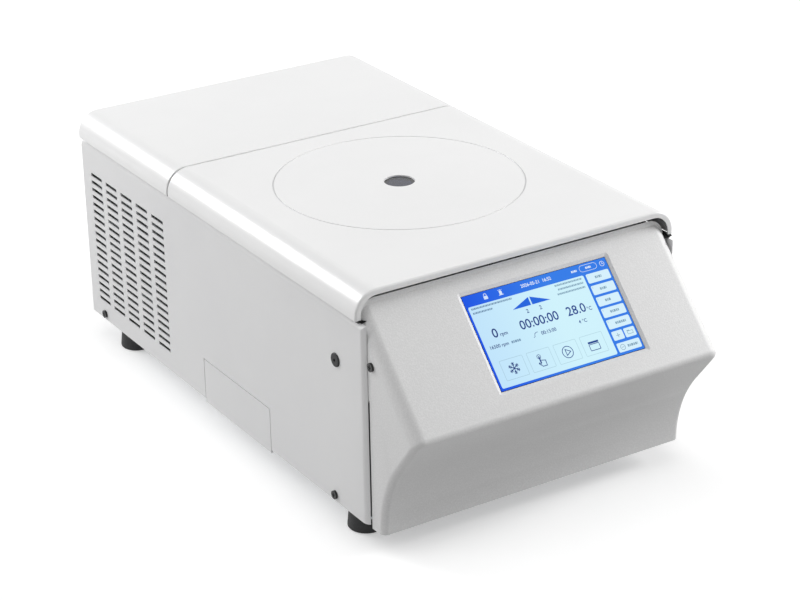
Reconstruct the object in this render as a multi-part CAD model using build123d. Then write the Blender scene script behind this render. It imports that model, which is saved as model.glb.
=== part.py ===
from build123d import *
from math import cos, pi, radians, sin, tan
import os

os.makedirs("parts", exist_ok=True)

# A refrigerated microcentrifuge for the bench. Millimetres, +Z up, the front faces -Y.
# The origin is on the bench under the middle of the body's outline.

# Overall body
depth = 622.0
height = 243.5
rear_y = depth / 2
nose_y = -depth / 2
panel_width = 332.0
panel_bottom_z = 25.0
sheet = 1.2
fit_gap = 0.4
pin_gap = 0.05
cut_past = 1.0

# Lid and rear top cover share one bent outline
cover_overhang = 2.5
cover_skirt = 25.5
cover_shoulder = 22.0
cover_sheet = 1.5
lid_setback = 83.0
seam_setback = 425.5
seam_gap = 1.4
skirt_gap = 1.2
lid_front_band = 5.5
lid_edge_round = 2.0
rear_cover_round = 4.0
cover_edge_round = 0.6

# Lid hinge, hidden under the rear edge of the lid
hinge_inset = 4.3
hinge_pin_d = 3.0
knuckle_d = 4.9
hinge_x = 98.0
fixed_knuckle_w = 22.0
lid_knuckle_w = 12.0
knuckle_side_gap = 0.4
hinge_bracket_t = 4.0
hinge_leaf_depth = 26.0
hinge_leaf_t = 1.5
hinge_foot = 12.0
hinge_foot_t = 3.0
hinge_window_gap = 2.0
hinge_rod_past = 3.0

# Chamber, centred under the lid's round groove
chamber_setback = 279.0
chamber_d = 206.0
chamber_depth = 112.0
bowl_sheet = 1.2
bowl_corner = 18.0
bowl_flange = 9.0
bowl_hub_hole_d = 46.0
guard_wall = 5.0
guard_side_gap = 13.3
guard_fit = 0.5
coil_fit = 0.3
coil_low_gap = 20.0
coil_d = 8.0
foam_floor = 12.0
lid_groove_d = 235.0
lid_groove_w = 1.4
lid_groove_deep = 0.6

# Lid lining, seal and sight glass
deck_sheet = 2.0
lining_gap = 6.0
lining_wall = 2.5
lining_front_gap = 35.0
lining_rear_gap = 20.5
lining_side_gap = 3.0
lining_corner = 18.0
lining_low_round = 3.0
lining_skin_gap = 2.0
lining_plug_deep = 7.0
lining_plug_gap = 5.0
lining_plug_round = 3.0
foam_gap = 0.5
gasket_w = 10.0
gasket_inset = 2.0
gasket_round = 2.0
sight_d = 29.0
sight_glass_t = 4.0
sight_recess = 1.2
sight_tube_wall = 2.5
sight_ledge = 2.5
sight_fit = 0.3

# Latch
striker_setback = 25.0
striker_w = 30.0
striker_d = 5.0
striker_drop = 15.3
striker_foot = 16.0
striker_plate_t = 2.5
striker_plate_half = 8.0
striker_slot_side = 9.0
hook_pivot_back = 11.0
hook_pivot_down = 30.0
hook_t = 6.0
hook_unlock_deg = 18.0
hook_pin_d = 5.0
hook_boss_d = 13.0
hook_nose_gap = 0.7
hook_nose_h = 3.8
hook_arm_half = 4.0
hook_nose_past = 3.0
hook_tail_l = 18.0
hook_tail_half = 3.0
latch_side_gap = 6.0
latch_front = 6.0
latch_rear = 9.0
latch_drop = 12.0
latch_ear = 14.0
latch_ear_front = 4.0
latch_plate_t = 3.0
latch_motor_d = 24.0
latch_motor_l = 38.0
latch_motor_back = 4.0
latch_motor_down = 4.0
latch_motor_tail_d = 13.2
latch_motor_tail_l = 5.0

# Front fascia
fascia_inset = 4.0
fascia_wall = 3.0
fascia_foot_setback = 56.0
fascia_foot_z = 22.0
fascia_sweep_deg = 38.5
nose_drop = 109.9
slope_deg = 46.5
fascia_brow_gap = 6.6
fascia_top_drop = 10.5
fascia_ledge = 8.0
slope_side_round = 12.0
sweep_side_round = 6.0
edge_near = 0.5
brow_corner_round = 17.0

# Touch display, seven inches across
screen_w = 153.6
screen_h = 90.0
screen_x = 12.3
screen_up = 24.3
screen_glass_t = 2.0
screen_bevel = 3.6
screen_recess = 1.6
screen_fit = 0.3
screen_back_gap = 0.2
bevel_round = 3.0
screen_corner = 0.8
display_t = 6.0
display_side = 7.0
display_end = 6.0
board_inset = 10.0
board_end_inset = 5.0
post_d = 6.0
post_l = 6.4
post_inset = 6.0

# Side panels
panel_fold = 8.0
panel_flange = 14.0
panel_setback = 74.0
panel_rear_gap = 1.5
vent_columns = 5
vent_rows = 18
vent_length = 24.4
vent_height = 3.8
vent_column_pitch = 33.4
vent_rear_gap = 20.0
vent_top_gap = 32.0
vent_low_z = 45.0

# Condensate tray in the left side
tray_back = 93.0
tray_length = 127.0
tray_top_z = 67.0
tray_bottom_z = 21.5
tray_gap = 0.8
tray_wall = 1.6
tray_end_x = -68.0
tray_box_low_z = 32.0
tray_box_high_z = 56.0
tray_box_inset = 6.0

# Release plug in the left side
plug_setback = 121.5
plug_down = 48.3
plug_d = 13.0
plug_stem_d = 8.0
plug_head_t = 1.6
plug_stem_l = 24.0
plug_gap = 0.3
plug_eye_d = 3.0
plug_round = 1.0

# Chassis and deck
chassis_side = 15.0
chassis_back_gap = 2.0
deck_back = 15.5
rear_sheet = 1.5
rear_panel_inset = 5.5
floor_t = 2.0
tray_clear = 2.0

# Rubber feet
foot_d = 35.0
foot_top_d = 30.0
foot_inset = 23.0
foot_setback = 115.0
foot_rear_gap = 55.0
foot_round = 2.0
foot_screw_d = 9.0
foot_screw_deep = 7.0

# Drive motor and rotor
motor_d = 104.0
motor_plate_d = 150.0
motor_plate_t = 4.0
motor_plate_gap = 2.1
motor_floor_gap = 4.0
motor_neck_d = 44.0
motor_neck_past = 4.0
motor_round = 6.0
motor_bell = 12.0
shaft_low_gap = 1.0
damper_r = 65.0
damper_d = 20.0
damper_waist_d = 15.0
damper_waist_h = 8.0
damper_foot = 20.0
shaft_d = 14.0
shaft_tip_d = 9.0
shaft_gap = 0.05
rotor_gap = 11.0
rotor_rim_cut = 16.0
rotor_rim_low = 12.0
rotor_rim_high = 28.0
rotor_mouth_drop = 10.0
rotor_lip = 4.0
mouth_inner = 9.0
mouth_outer = 10.0
hub_step = 3.0
rotor_height = 50.0
rotor_hub_drop = 12.0
rotor_hub_r = 14.0
rotor_floor_gap = 16.0
rotor_places = 24
tube_bore_d = 11.2
tube_bore_deep = 36.0
tube_angle_deg = 45.0
tube_mouth_inset = 36.0
tube_run_out = 24.0
nut_scallops = 8
nut_d = 38.0
nut_height = 20.0
nut_gap = 0.3
nut_round = 3.0
nut_scallop_d = 6.0
nut_scallop_out = 1.14
nut_scallop_low = 5.0
nut_cap = 3.0

# Refrigeration
compressor_share = 0.6
compressor_board_gap = 90.0
compressor_lift = 8.0
compressor_base_t = 3.0
compressor_base_side = 4.0
compressor_base_round = 10.0
compressor_top_round = 37.5
compressor_low_round = 8.0
weld_side = 3.0
weld_up = 60.0
terminal_w = 40.0
terminal_in = 6.0
terminal_out = 16.0
terminal_up = 20.0
terminal_h = 35.0
grommet_d = 18.0
grommet_inset = 6.0
bay_shift = 5.0
bay_end_gap = 9.0
condenser_up = 2.0
condenser_side_gap = 2.5
tube_half = 4.0
tube_inset = 6.0
condenser_t = 34.0
condenser_fins = 26
fin_t = 0.6
fan_frame_gap = 5.0
fan_throat_gap = 6.0
fan_frame_t = 22.0
fan_hub_d = 42.0
fan_corner = 8.0
fan_strut_w = 8.0
fan_strut_t = 3.0
fan_shaft_d = 6.0
fan_shaft_l = 4.5
fan_front_gap = 2.0
fan_back_gap = 5.0
fan_chord = 34.0
fan_up = 3.0
fan_to_condenser = 1.0
fan_blades = 7
fan_tip_gap = 2.5
fan_blade_pitch = 32.0
fan_blade_t = 1.6
pipe_d = 6.4
pipe_drop = 20.8
pipe_bend = 10.0
pipe_clear = 46.0
can_clear = 68.0
drier_d = 19.0
drier_l = 96.0
drier_neck = 8.0
drier_chamfer = 4.0
drier_fan_gap = 53.4
drier_back = 66.0
drier_z = 60.0
condenser_rows = 5

# Circuit boards
board_t = 1.6
board_side_gap = 14.8
board_back = 18.0
board_l = 80.0
board_z = 60.0
board_h = 100.0
choke = (26.0, 26.0, 32.0)
choke_at = (8.0, 12.0)
capacitor_d = 22.0
capacitor_l = 30.0
capacitor_y = 54.0
capacitor_low = 30.0
capacitor_pitch = 26.0
relay = (14.0, 32.0, 28.0)
relay_at = (8.0, 56.0)
drive_board_setback = 103.0
drive_board_l = 66.0
drive_board_z = 40.0
drive_board_h = 110.0
drive_post = 8.0
drive_post_d = 6.0
drive_post_inset = 6.0
sink_base = 5.0
sink_deep = 18.0
sink_inset = 12.0
sink_low = 14.0
sink_high = 30.0
sink_fins = 5
sink_fin_t = 2.0

# Rear panel fittings
inlet_side = 36.0
inlet_z = 62.0
inlet_w = 27.4
inlet_h = 19.8
inlet_deep = 18.0
inlet_plate_w = 50.0
inlet_plate_h = 28.0
inlet_plate_t = 2.5
inlet_plate_round = 4.0
inlet_wall = 1.7
inlet_floor = 4.0
inlet_corner = 4.5
pin_w = 2.0
pin_h = 4.0
pin_pitch = 7.0
pin_raise = 2.0
pin_back = 2.0
panel_cut_gap = 0.3
rocker_z = 104.0
rocker_w = 13.0
rocker_h = 19.0
rocker_swing_deg = 20.0
rocker_side_gap = 0.4
rocker_end_gap = 1.4
rocker_base_half = 6.0
rocker_deep = 6.0
rocker_proud = 1.0
rocker_pivot_in = 3.0
rocker_axle_d = 3.0
rocker_axle_out = 1.2
switch_wall = 2.0
switch_lip = 4.0
switch_lip_t = 1.8
switch_deep = 16.0
switch_well = 12.0
rear_columns = 4
rear_vent_side = 37.0
rear_vent_end = 14.8
rear_vent_space = 8.0
rear_rows = 10
rear_row_pitch = 10.0
fuse_pitch = 26.0
fuse_side = 73.8
fuse_d = 12.6
fuse_rim = 1.5
fuse_cap_t = 5.0
fuse_deep = 24.0
fuse_slot_w = 1.6
fuse_slot_l = 10.0
fuse_slot_deep = 1.5
fuse_fit = 0.2

# Screws
side_screw_setback = 129.0
side_screw_rear_gap = 31.0
side_screw_z = 31.5
fascia_screw_setback = 69.0
fascia_screw_drop = 63.5
screw_head_d = 8.0
screw_head_t = 2.2
screw_d = 4.0
screw_l = 5.0
screw_fit = 0.1
screw_slot_l = 4.8
screw_slot_w = 1.0
screw_slot_deep = 0.8
rear_screw_d = 6.5
rear_screw_t = 1.8
rear_screw_inset = 9.0

# Places worked out from the sizes above
cover_width = panel_width + 2 * cover_overhang
fascia_width = panel_width - 2 * fascia_inset
lid_front_y = nose_y + lid_setback
seam_y = nose_y + seam_setback
chamber_y = nose_y + chamber_setback
panel_front_y = nose_y + panel_setback
fascia_foot_y = nose_y + fascia_foot_setback
fascia_brow_y = lid_front_y + fascia_brow_gap
fascia_top_z = height - fascia_top_drop
panel_top_z = height - cover_skirt - skirt_gap
deck_z = panel_top_z - sheet - panel_cut_gap
deck_rear_y = seam_y + deck_back
deck_half = panel_width / 2 - panel_fold - 1
floor_z = panel_bottom_z + 1.0
floor_top_z = floor_z + floor_t
inner_half = panel_width / 2 - sheet
rear_panel_y = rear_y - rear_panel_inset - rear_sheet
rear_face_y = rear_panel_y + rear_sheet
hinge_y = seam_y - hinge_inset
hinge_z = height - hinge_inset
lid_low_z = height - cover_skirt
lining_z = deck_z + lining_gap
lining_front_y = lid_front_y + lining_front_gap
lining_rear_y = seam_y - lining_rear_gap
striker_y = lid_front_y + striker_setback
striker_low_z = deck_z - striker_drop
striker_plate_z = height - cover_sheet - striker_plate_t
hook_pivot_y = striker_y + hook_pivot_back
hook_pivot_z = striker_low_z - hook_pivot_down
bowl_floor_z = deck_z - chamber_depth
foam_low_z = bowl_floor_z - bowl_sheet - foam_floor
coil_inner_d = chamber_d + 2 * bowl_sheet + 2 * coil_fit
coil_outer_d = coil_inner_d + 2 * coil_d
guard_outer_d = 2 * (deck_half - deck_sheet - guard_side_gap)
guard_inner_d = guard_outer_d - 2 * guard_wall
rotor_floor_z = bowl_floor_z + rotor_floor_gap
rotor_d = chamber_d - 2 * rotor_gap
tube_mouth_r = rotor_d / 2 - tube_mouth_inset
rotor_mouth_z = rotor_floor_z + rotor_height - rotor_mouth_drop
rotor_hub_z = rotor_floor_z + rotor_height - rotor_hub_drop
motor_low_z = floor_top_z + motor_floor_gap
motor_plate_z = foam_low_z - motor_plate_gap - motor_plate_t
nose_top_z = height - nose_drop
sweep_angle = radians(fascia_sweep_deg)
sweep_rise = nose_top_z - fascia_foot_z - fascia_foot_setback / tan(sweep_angle)
fascia_sweep_r = sweep_rise / (sin(sweep_angle) - (1 - cos(sweep_angle)) / tan(sweep_angle))
vent_rear_y = rear_y - vent_rear_gap
vent_top_z = panel_top_z - vent_top_gap
vent_row_pitch = (vent_top_z - vent_height - vent_low_z) / (vent_rows - 1)
tray_rear_y = chamber_y + tray_back
tray_reach = panel_width / 2 + tray_end_x
plug_y = nose_y + plug_setback
plug_z = deck_z - plug_down
foot_x = panel_width / 2 - foot_inset
foot_front_y = nose_y + foot_setback
foot_rear_y = rear_y - foot_rear_gap
bay_length = rear_panel_y - deck_rear_y
bay_y = deck_rear_y + bay_length / 2 + bay_shift
pipe_run_z = panel_top_z - pipe_drop
board_x = inner_half - board_side_gap
board_y = deck_rear_y + board_back
compressor_d = compressor_share * bay_length
compressor_h = pipe_run_z - can_clear
compressor_x = board_x - compressor_board_gap
compressor_low_z = floor_top_z + compressor_lift
condenser_h = pipe_run_z - pipe_clear
condenser_l = bay_length - 2 * bay_end_gap
condenser_z = floor_top_z + condenser_up
condenser_x = -inner_half + fit_gap + floor_t + condenser_side_gap
fan_frame = min(condenser_l, condenser_h) - 2 * fan_frame_gap
fan_d = fan_frame - 2 * fan_throat_gap
fan_x = condenser_x + condenser_t + fan_to_condenser
fan_z = condenser_z + condenser_h / 2 + fan_up
drier_x = fan_x + fan_frame_t + drier_fan_gap + drier_d / 2
drier_y = deck_rear_y + drier_back
drive_board_y = nose_y + drive_board_setback
fuse_x = -inner_half + fuse_side
inlet_x = fuse_x + inlet_side
rear_vent_x = inlet_x + rear_vent_side
rear_column_pitch = (inner_half - rear_vent_end - rear_vent_x + rear_vent_space) / rear_columns
rear_vent_l = rear_column_pitch - rear_vent_space
side_screw_front_y = nose_y + side_screw_setback
side_screw_rear_y = rear_y - side_screw_rear_gap
fascia_screw_y = nose_y + fascia_screw_setback
fascia_screw_z = height - fascia_screw_drop


def box(x0, x1, y0, y1, z0, z1):
    """A block between two corners."""
    return Pos((x0 + x1) / 2, (y0 + y1) / 2, (z0 + z1) / 2) * Box(x1 - x0, y1 - y0, z1 - z0)


def rod(diameter, length, at, axis="Z"):
    """A cylinder that starts at a point and runs along an axis."""
    turn = {"Z": Rot(0, 0, 0), "X": Rot(0, 90, 0), "Y": Rot(-90, 0, 0)}[axis]
    return Pos(*at) * turn * Pos(0, 0, length / 2) * Cylinder(diameter / 2, length)


def ring(outer_d, inner_d, z0, z1, x=0.0, y=chamber_y):
    """An upright ring."""
    return rod(outer_d, z1 - z0, (x, y, z0)) - rod(inner_d, z1 - z0, (x, y, z0))


def group(pieces):
    """Alike pieces that stay separate solids in one node."""
    return Compound(children=[solid for piece in pieces for solid in piece.solids()])


def only(shape):
    """The single solid of a cut or fused shape."""
    return max(shape.solids(), key=lambda solid: solid.volume)


# Bent covers


def cover_block(y0, y1, inset, z0):
    """The full inside of the bent cover outline, drawn in by an inset."""
    half = cover_width / 2 - inset
    top = height - inset
    bend = cover_shoulder - inset
    with BuildPart() as block:
        with BuildSketch(Plane.XZ.offset(-y0)) as outline:
            with BuildLine():
                Polyline((-half, top - bend), (-half, z0), (half, z0), (half, top - bend))
                RadiusArc((half, top - bend), (half - bend, top), -bend)
                Line((half - bend, top), (-half + bend, top))
                RadiusArc((-half + bend, top), (-half, top - bend), -bend)
            make_face()
        extrude(amount=-(y1 - y0))
    return block.part


def end_edges(shape, y):
    """The outline edges of a cover's end, without its open lower edge."""
    edges = shape.edges().filter_by_position(Axis.Y, y - 0.01, y + 0.01)
    return edges.filter_by(lambda edge: edge.center().Z > lid_low_z + 0.5)


def make_lid_shell():
    """The lid's bent skin with its front band, rear wall, round groove and sight hole."""
    outer = cover_block(lid_front_y, seam_y, 0, lid_low_z)
    outer = fillet(end_edges(outer, lid_front_y) + end_edges(outer, seam_y), lid_edge_round)
    shell = outer - cover_block(lid_front_y - 1, seam_y - cover_sheet, cover_sheet, lid_low_z - 1)
    band = cover_block(lid_front_y, lid_front_y + cover_sheet, cover_sheet / 2, lid_low_z)
    band -= cover_block(lid_front_y - 1, lid_front_y + 3, lid_front_band, lid_low_z - 1)
    shell += band & outer
    for side in (-1, 1):
        shell -= bracket_window(side * hinge_x)
    groove = ring(lid_groove_d + lid_groove_w, lid_groove_d - lid_groove_w, height - lid_groove_deep, height + 1)
    shell -= groove
    shell -= rod(sight_d, 8, (0, chamber_y, height - 4))
    return only(shell)


def bracket_window(x):
    """The cut in the lid's rear wall that the fixed hinge bracket stands in."""
    half = fixed_knuckle_w / 2 + lid_knuckle_w + hinge_window_gap
    return box(x - half, x + half, seam_y - cover_sheet - cut_past, seam_y + cut_past,
               lid_low_z - cut_past, height - cover_sheet)


def make_rear_cover():
    """The fixed cover behind the lid, bent to the same outline, with an in-turned rear flange."""
    outer = cover_block(seam_y + seam_gap, rear_y, 0, lid_low_z)
    outer = fillet(end_edges(outer, rear_y), rear_cover_round)
    outer = fillet(end_edges(outer, seam_y + seam_gap), cover_edge_round)
    inner = cover_block(seam_y - 2, rear_y - cover_sheet, cover_sheet, lid_low_z - 1)
    return only(outer - inner)


# Lid parts


def lid_rim():
    """The outline, from above, of everything that hangs inside the lid."""
    half = cover_width / 2 - cover_shoulder + lining_side_gap
    return half, lining_front_y, lining_rear_y


def make_lid_lining():
    """The moulded pan under the lid, with the round plug that closes the chamber."""
    half, front, rear = lid_rim()
    top = height - cover_sheet - lining_skin_gap
    pan = box(-half, half, front, rear, lining_z, top)
    pan = fillet(pan.edges().filter_by(Axis.Z), lining_corner)
    low_edges = pan.edges().filter_by_position(Axis.Z, lining_z - 0.01, lining_z + 0.01)
    pan = fillet(low_edges, lining_low_round)
    inner = box(-half + lining_wall, half - lining_wall, front + lining_wall, rear - lining_wall,
                lining_z + lining_wall, top + cut_past)
    inner = fillet(inner.edges().filter_by(Axis.Z), lining_corner - lining_wall)
    pan -= inner
    plug_d = chamber_d - 2 * lining_plug_gap
    plug = rod(plug_d, lining_plug_deep + lining_wall, (0, chamber_y, lining_z - lining_plug_deep))
    plug = fillet(plug.edges().filter_by_position(Axis.Z, lining_z - lining_plug_deep - 0.01,
                                                  lining_z - lining_plug_deep + 0.01), lining_plug_round)
    hollow = rod(plug_d - 2 * lining_wall, lining_plug_deep + 2,
                 (0, chamber_y, lining_z - lining_plug_deep + lining_wall))
    pan = pan + plug - hollow
    tube_low = lining_z - lining_plug_deep
    tube = rod(sight_d + 2 * sight_tube_wall, top - tube_low, (0, chamber_y, tube_low))
    pan = pan + tube - rod(sight_d - 2 * sight_ledge, top - tube_low + 2, (0, chamber_y, tube_low - 1))
    seat_z = height - sight_recess - sight_glass_t
    pan -= rod(sight_d + 2 * sight_fit, 2 * sight_glass_t, (0, chamber_y, seat_z))
    return only(pan)


def make_sight_glass():
    """The round glass over the sight tube, just under the lid's skin level."""
    top = height - sight_recess
    return rod(sight_d - 2 * sight_fit, sight_glass_t, (0, chamber_y, top - sight_glass_t))


def make_lid_foam():
    """The foam slab that fills the lining round the sight tube."""
    half, front, rear = lid_rim()
    clear = lining_wall + foam_gap
    slab = box(-half + clear, half - clear, front + clear, rear - clear,
               lining_z + lining_wall, height - cover_sheet - lining_skin_gap - 1)
    slab = fillet(slab.edges().filter_by(Axis.Z), lining_corner - clear)
    return only(slab - rod(sight_d + 2 * sight_tube_wall + 2 * foam_gap, height, (0, chamber_y, 0)))


def make_lid_gasket():
    """The round seal on the lining that closes on the deck round the bowl."""
    inner = chamber_d + 2 * bowl_flange + 2 * gasket_inset
    low = deck_z + fit_gap
    seal = ring(inner + 2 * gasket_w, inner, low, lining_z)
    edges = seal.edges().filter_by_position(Axis.Z, low - 0.01, low + 0.01)
    return only(fillet(edges, gasket_round))


def striker_loop():
    """The steel loop that the latch hook catches, and its mounting plate."""
    low = striker_low_z
    top = striker_plate_z
    half = striker_w / 2
    legs = [rod(striker_d, top - low, (side * half, striker_y, low)) for side in (-1, 1)]
    bar = rod(striker_d, striker_w + striker_d, (-half - striker_d / 2, striker_y, low + striker_d / 2), "X")
    plate = box(-half - striker_foot, half + striker_foot, striker_y - striker_plate_half,
                striker_y + striker_plate_half, top, top + striker_plate_t)
    return only(plate + legs[0] + legs[1] + bar)


# Hinge


def hinge_knuckle(x, width):
    """One bored barrel on the hinge axis."""
    return rod(knuckle_d, width, (x - width / 2, hinge_y, hinge_z), "X")


def pin_bore(x, width):
    """The bore for the hinge rod."""
    bore = hinge_pin_d + 2 * pin_gap
    return rod(bore, 2 * width, (x - width, hinge_y, hinge_z), "X")


def make_fixed_bracket(x):
    """An upright bracket on the deck whose top carries the fixed barrel."""
    half = fixed_knuckle_w / 2
    web = box(x - half, x + half, hinge_y - hinge_bracket_t / 2, hinge_y + hinge_bracket_t / 2, deck_z, hinge_z)
    foot = box(x - half, x + half, hinge_y - hinge_foot, hinge_y + hinge_bracket_t / 2, deck_z, deck_z + hinge_foot_t)
    bracket = web + foot + hinge_knuckle(x, fixed_knuckle_w) - pin_bore(x, fixed_knuckle_w)
    return only(bracket)


def make_hinge_leaf(x):
    """The leaf under the lid's skin with a barrel on each side of the fixed one."""
    offset = fixed_knuckle_w / 2 + knuckle_side_gap + lid_knuckle_w / 2
    half = offset + lid_knuckle_w / 2
    top = height - cover_sheet
    leaf = box(x - half, x + half, hinge_y - hinge_leaf_depth, hinge_y - knuckle_d / 2 - knuckle_side_gap,
               top - hinge_leaf_t, top)
    for side in (-1, 1):
        cx = x + side * offset
        leaf += hinge_knuckle(cx, lid_knuckle_w)
        leaf += box(cx - lid_knuckle_w / 2, cx + lid_knuckle_w / 2, hinge_y - knuckle_d, hinge_y,
                    top - hinge_leaf_t, hinge_z + knuckle_d / 2)
    return only(leaf - pin_bore(x, 2 * half))


def make_hinge_rod():
    """The long rod through both hinges, which twists to carry the lid's weight."""
    reach = hinge_x + fixed_knuckle_w / 2 + lid_knuckle_w + hinge_rod_past
    return rod(hinge_pin_d, 2 * reach, (-reach, hinge_y, hinge_z), "X")


# Fascia and display


def fascia_profile(inset):
    """The side outline of the fascia: swept foot, nose, slope and low brow."""
    r = fascia_sweep_r + inset
    foot = (fascia_foot_y + inset, fascia_foot_z)
    centre_y = fascia_foot_y - fascia_sweep_r
    arc_end = (centre_y + r * cos(sweep_angle), fascia_foot_z + r * sin(sweep_angle))
    arc_mid = (centre_y + r * cos(sweep_angle / 2), fascia_foot_z + r * sin(sweep_angle / 2))
    slope = radians(slope_deg)
    low_dir = (-sin(sweep_angle), cos(sweep_angle))
    up_dir = (cos(slope), sin(slope))
    slope_start = (nose_y + inset * sin(slope), nose_top_z - inset * cos(slope))
    cross = low_dir[0] * up_dir[1] - low_dir[1] * up_dir[0]
    reach = ((slope_start[0] - arc_end[0]) * up_dir[1] - (slope_start[1] - arc_end[1]) * up_dir[0]) / cross
    nose = (arc_end[0] + reach * low_dir[0], arc_end[1] + reach * low_dir[1])
    brow_y = fascia_brow_y + inset
    brow = (brow_y, slope_start[1] + (brow_y - slope_start[0]) * tan(slope))
    top = fascia_top_z - inset
    back = fascia_brow_y + fascia_ledge
    return foot, arc_mid, arc_end, nose, brow, (brow_y, top), (back, top), (back, fascia_foot_z)


def fascia_body(inset):
    """The whole moulding as a square-sided solid block, with the corners of its side outline."""
    foot, arc_mid, arc_end, nose, brow, top, back, heel = fascia_profile(inset)
    half = fascia_width / 2 - inset
    with BuildPart() as body:
        with BuildSketch(Plane.YZ.offset(-half)):
            with BuildLine():
                ThreePointArc(foot, arc_mid, arc_end)
                Polyline(arc_end, nose, brow, top, back, heel, foot)
            make_face()
        extrude(amount=2 * half)
    return body.part, nose, brow, top


def fascia_round(inset):
    """The moulding's block with rounded slope sides, swept sides and brow corners."""
    block, nose, brow, top = fascia_body(inset)
    half = fascia_width / 2 - inset

    def side_edges(shape):
        return shape.edges().filter_by(lambda edge: abs(abs(edge.center().X) - half) < edge_near)

    mid_slope = ((nose[0] + brow[0]) / 2, (nose[1] + brow[1]) / 2)
    slope_edges = side_edges(block).filter_by(
        lambda edge: abs(edge.center().Y - mid_slope[0]) < edge_near and abs(edge.center().Z - mid_slope[1]) < edge_near
    )
    block = fillet(slope_edges, slope_side_round - inset)
    foot_front = fascia_foot_y + inset - edge_near
    swept_edges = side_edges(block).filter_by(
        lambda edge: edge.center().Y < foot_front and edge.center().Z < nose[1]
    )
    block = fillet(swept_edges, sweep_side_round - inset)
    mask = box(-half, half, nose_y - slope_side_round, rear_y, 0, top[1])
    corners = mask.edges().filter_by(Axis.Y).filter_by_position(Axis.Z, top[1] - edge_near, top[1] + edge_near)
    return only(block & fillet(corners, brow_corner_round - inset))


def slope_plane(depth_in=0.0):
    """A plane on the slope, centred on the screen, whose y runs up the slope."""
    slope = radians(slope_deg)
    up = screen_up + screen_h / 2
    out = (0, -sin(slope), cos(slope))
    at = (
        screen_x,
        nose_y + up * cos(slope) - depth_in * out[1],
        nose_top_z + up * sin(slope) - depth_in * out[2],
    )
    return Plane(origin=at, x_dir=(1, 0, 0), z_dir=out)


def on_slope(width, high, z_low, z_high, round_r=0.0):
    """A block on the slope: heights are measured outward from the slope's face."""
    block = Pos(0, 0, (z_low + z_high) / 2) * Box(width, high, z_high - z_low)
    if round_r:
        block = fillet(block.edges().filter_by(Axis.Z), round_r)
    return slope_plane() * block


def make_fascia():
    """The moulded front: a hollow shell with a bevelled window for the display."""
    shell = fascia_round(0) - fascia_round(fascia_wall)
    open_back = box(
        -fascia_width / 2 + fascia_wall,
        fascia_width / 2 - fascia_wall,
        fascia_brow_y + fascia_ledge - fascia_wall - cut_past,
        chamber_y,
        fascia_foot_z - cut_past,
        fascia_top_z - fascia_wall,
    )
    shell -= open_back
    for side in (-1, 1):
        outer = side * (fascia_width / 2 + cut_past)
        inner = side * (panel_width / 2 - panel_flange - fit_gap)
        shell -= box(min(outer, inner), max(outer, inner), panel_front_y - fit_gap, chamber_y,
                     fascia_foot_z - cut_past, panel_top_z + fit_gap)
        shell -= rod(screw_d + 2 * screw_fit, 4 * screw_l,
                     (side * fascia_width / 2 - 2 * screw_l, fascia_screw_y, fascia_screw_z), "X")
    glass_w = screen_w + 2 * screen_fit
    glass_h = screen_h + 2 * screen_fit
    with BuildPart() as funnel:
        with BuildSketch(slope_plane(-screen_back_gap)):
            RectangleRounded(glass_w + 2 * screen_bevel, glass_h + 2 * screen_bevel, bevel_round)
        with BuildSketch(slope_plane(screen_recess)):
            RectangleRounded(glass_w, glass_h, screen_corner)
        loft()
    shell -= funnel.part
    shell -= on_slope(glass_w, glass_h, display_back(), cut_past)
    return only(shell)


def make_touch_glass():
    """The touch glass, set back behind the bevel."""
    return on_slope(screen_w, screen_h, -screen_recess - screen_glass_t, -screen_recess)


def display_back():
    """The height on the slope of the display panel's back."""
    return -screen_recess - screen_glass_t - screen_back_gap - display_t


def make_display_panel():
    """The display panel behind the glass, wider than the window and screwed to the fascia's back."""
    width = screen_w + 2 * display_side
    return on_slope(width, screen_h + 2 * display_end, display_back(), display_back() + display_t)


def make_display_board():
    """The display's circuit board, on four short posts."""
    back = display_back()
    low = back - post_l - board_t
    half_w = screen_w / 2 - board_inset
    half_h = screen_h / 2 - board_end_inset
    board = on_slope(2 * half_w, 2 * half_h, low, low + board_t)
    for sx in (-1, 1):
        for sy in (-1, 1):
            at = (sx * (half_w - post_inset), sy * (half_h - post_inset), back - post_l / 2)
            post = Pos(*at) * Cylinder(post_d / 2, post_l)
            board += slope_plane() * post
    return only(board)


# Side panels and chassis


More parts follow.
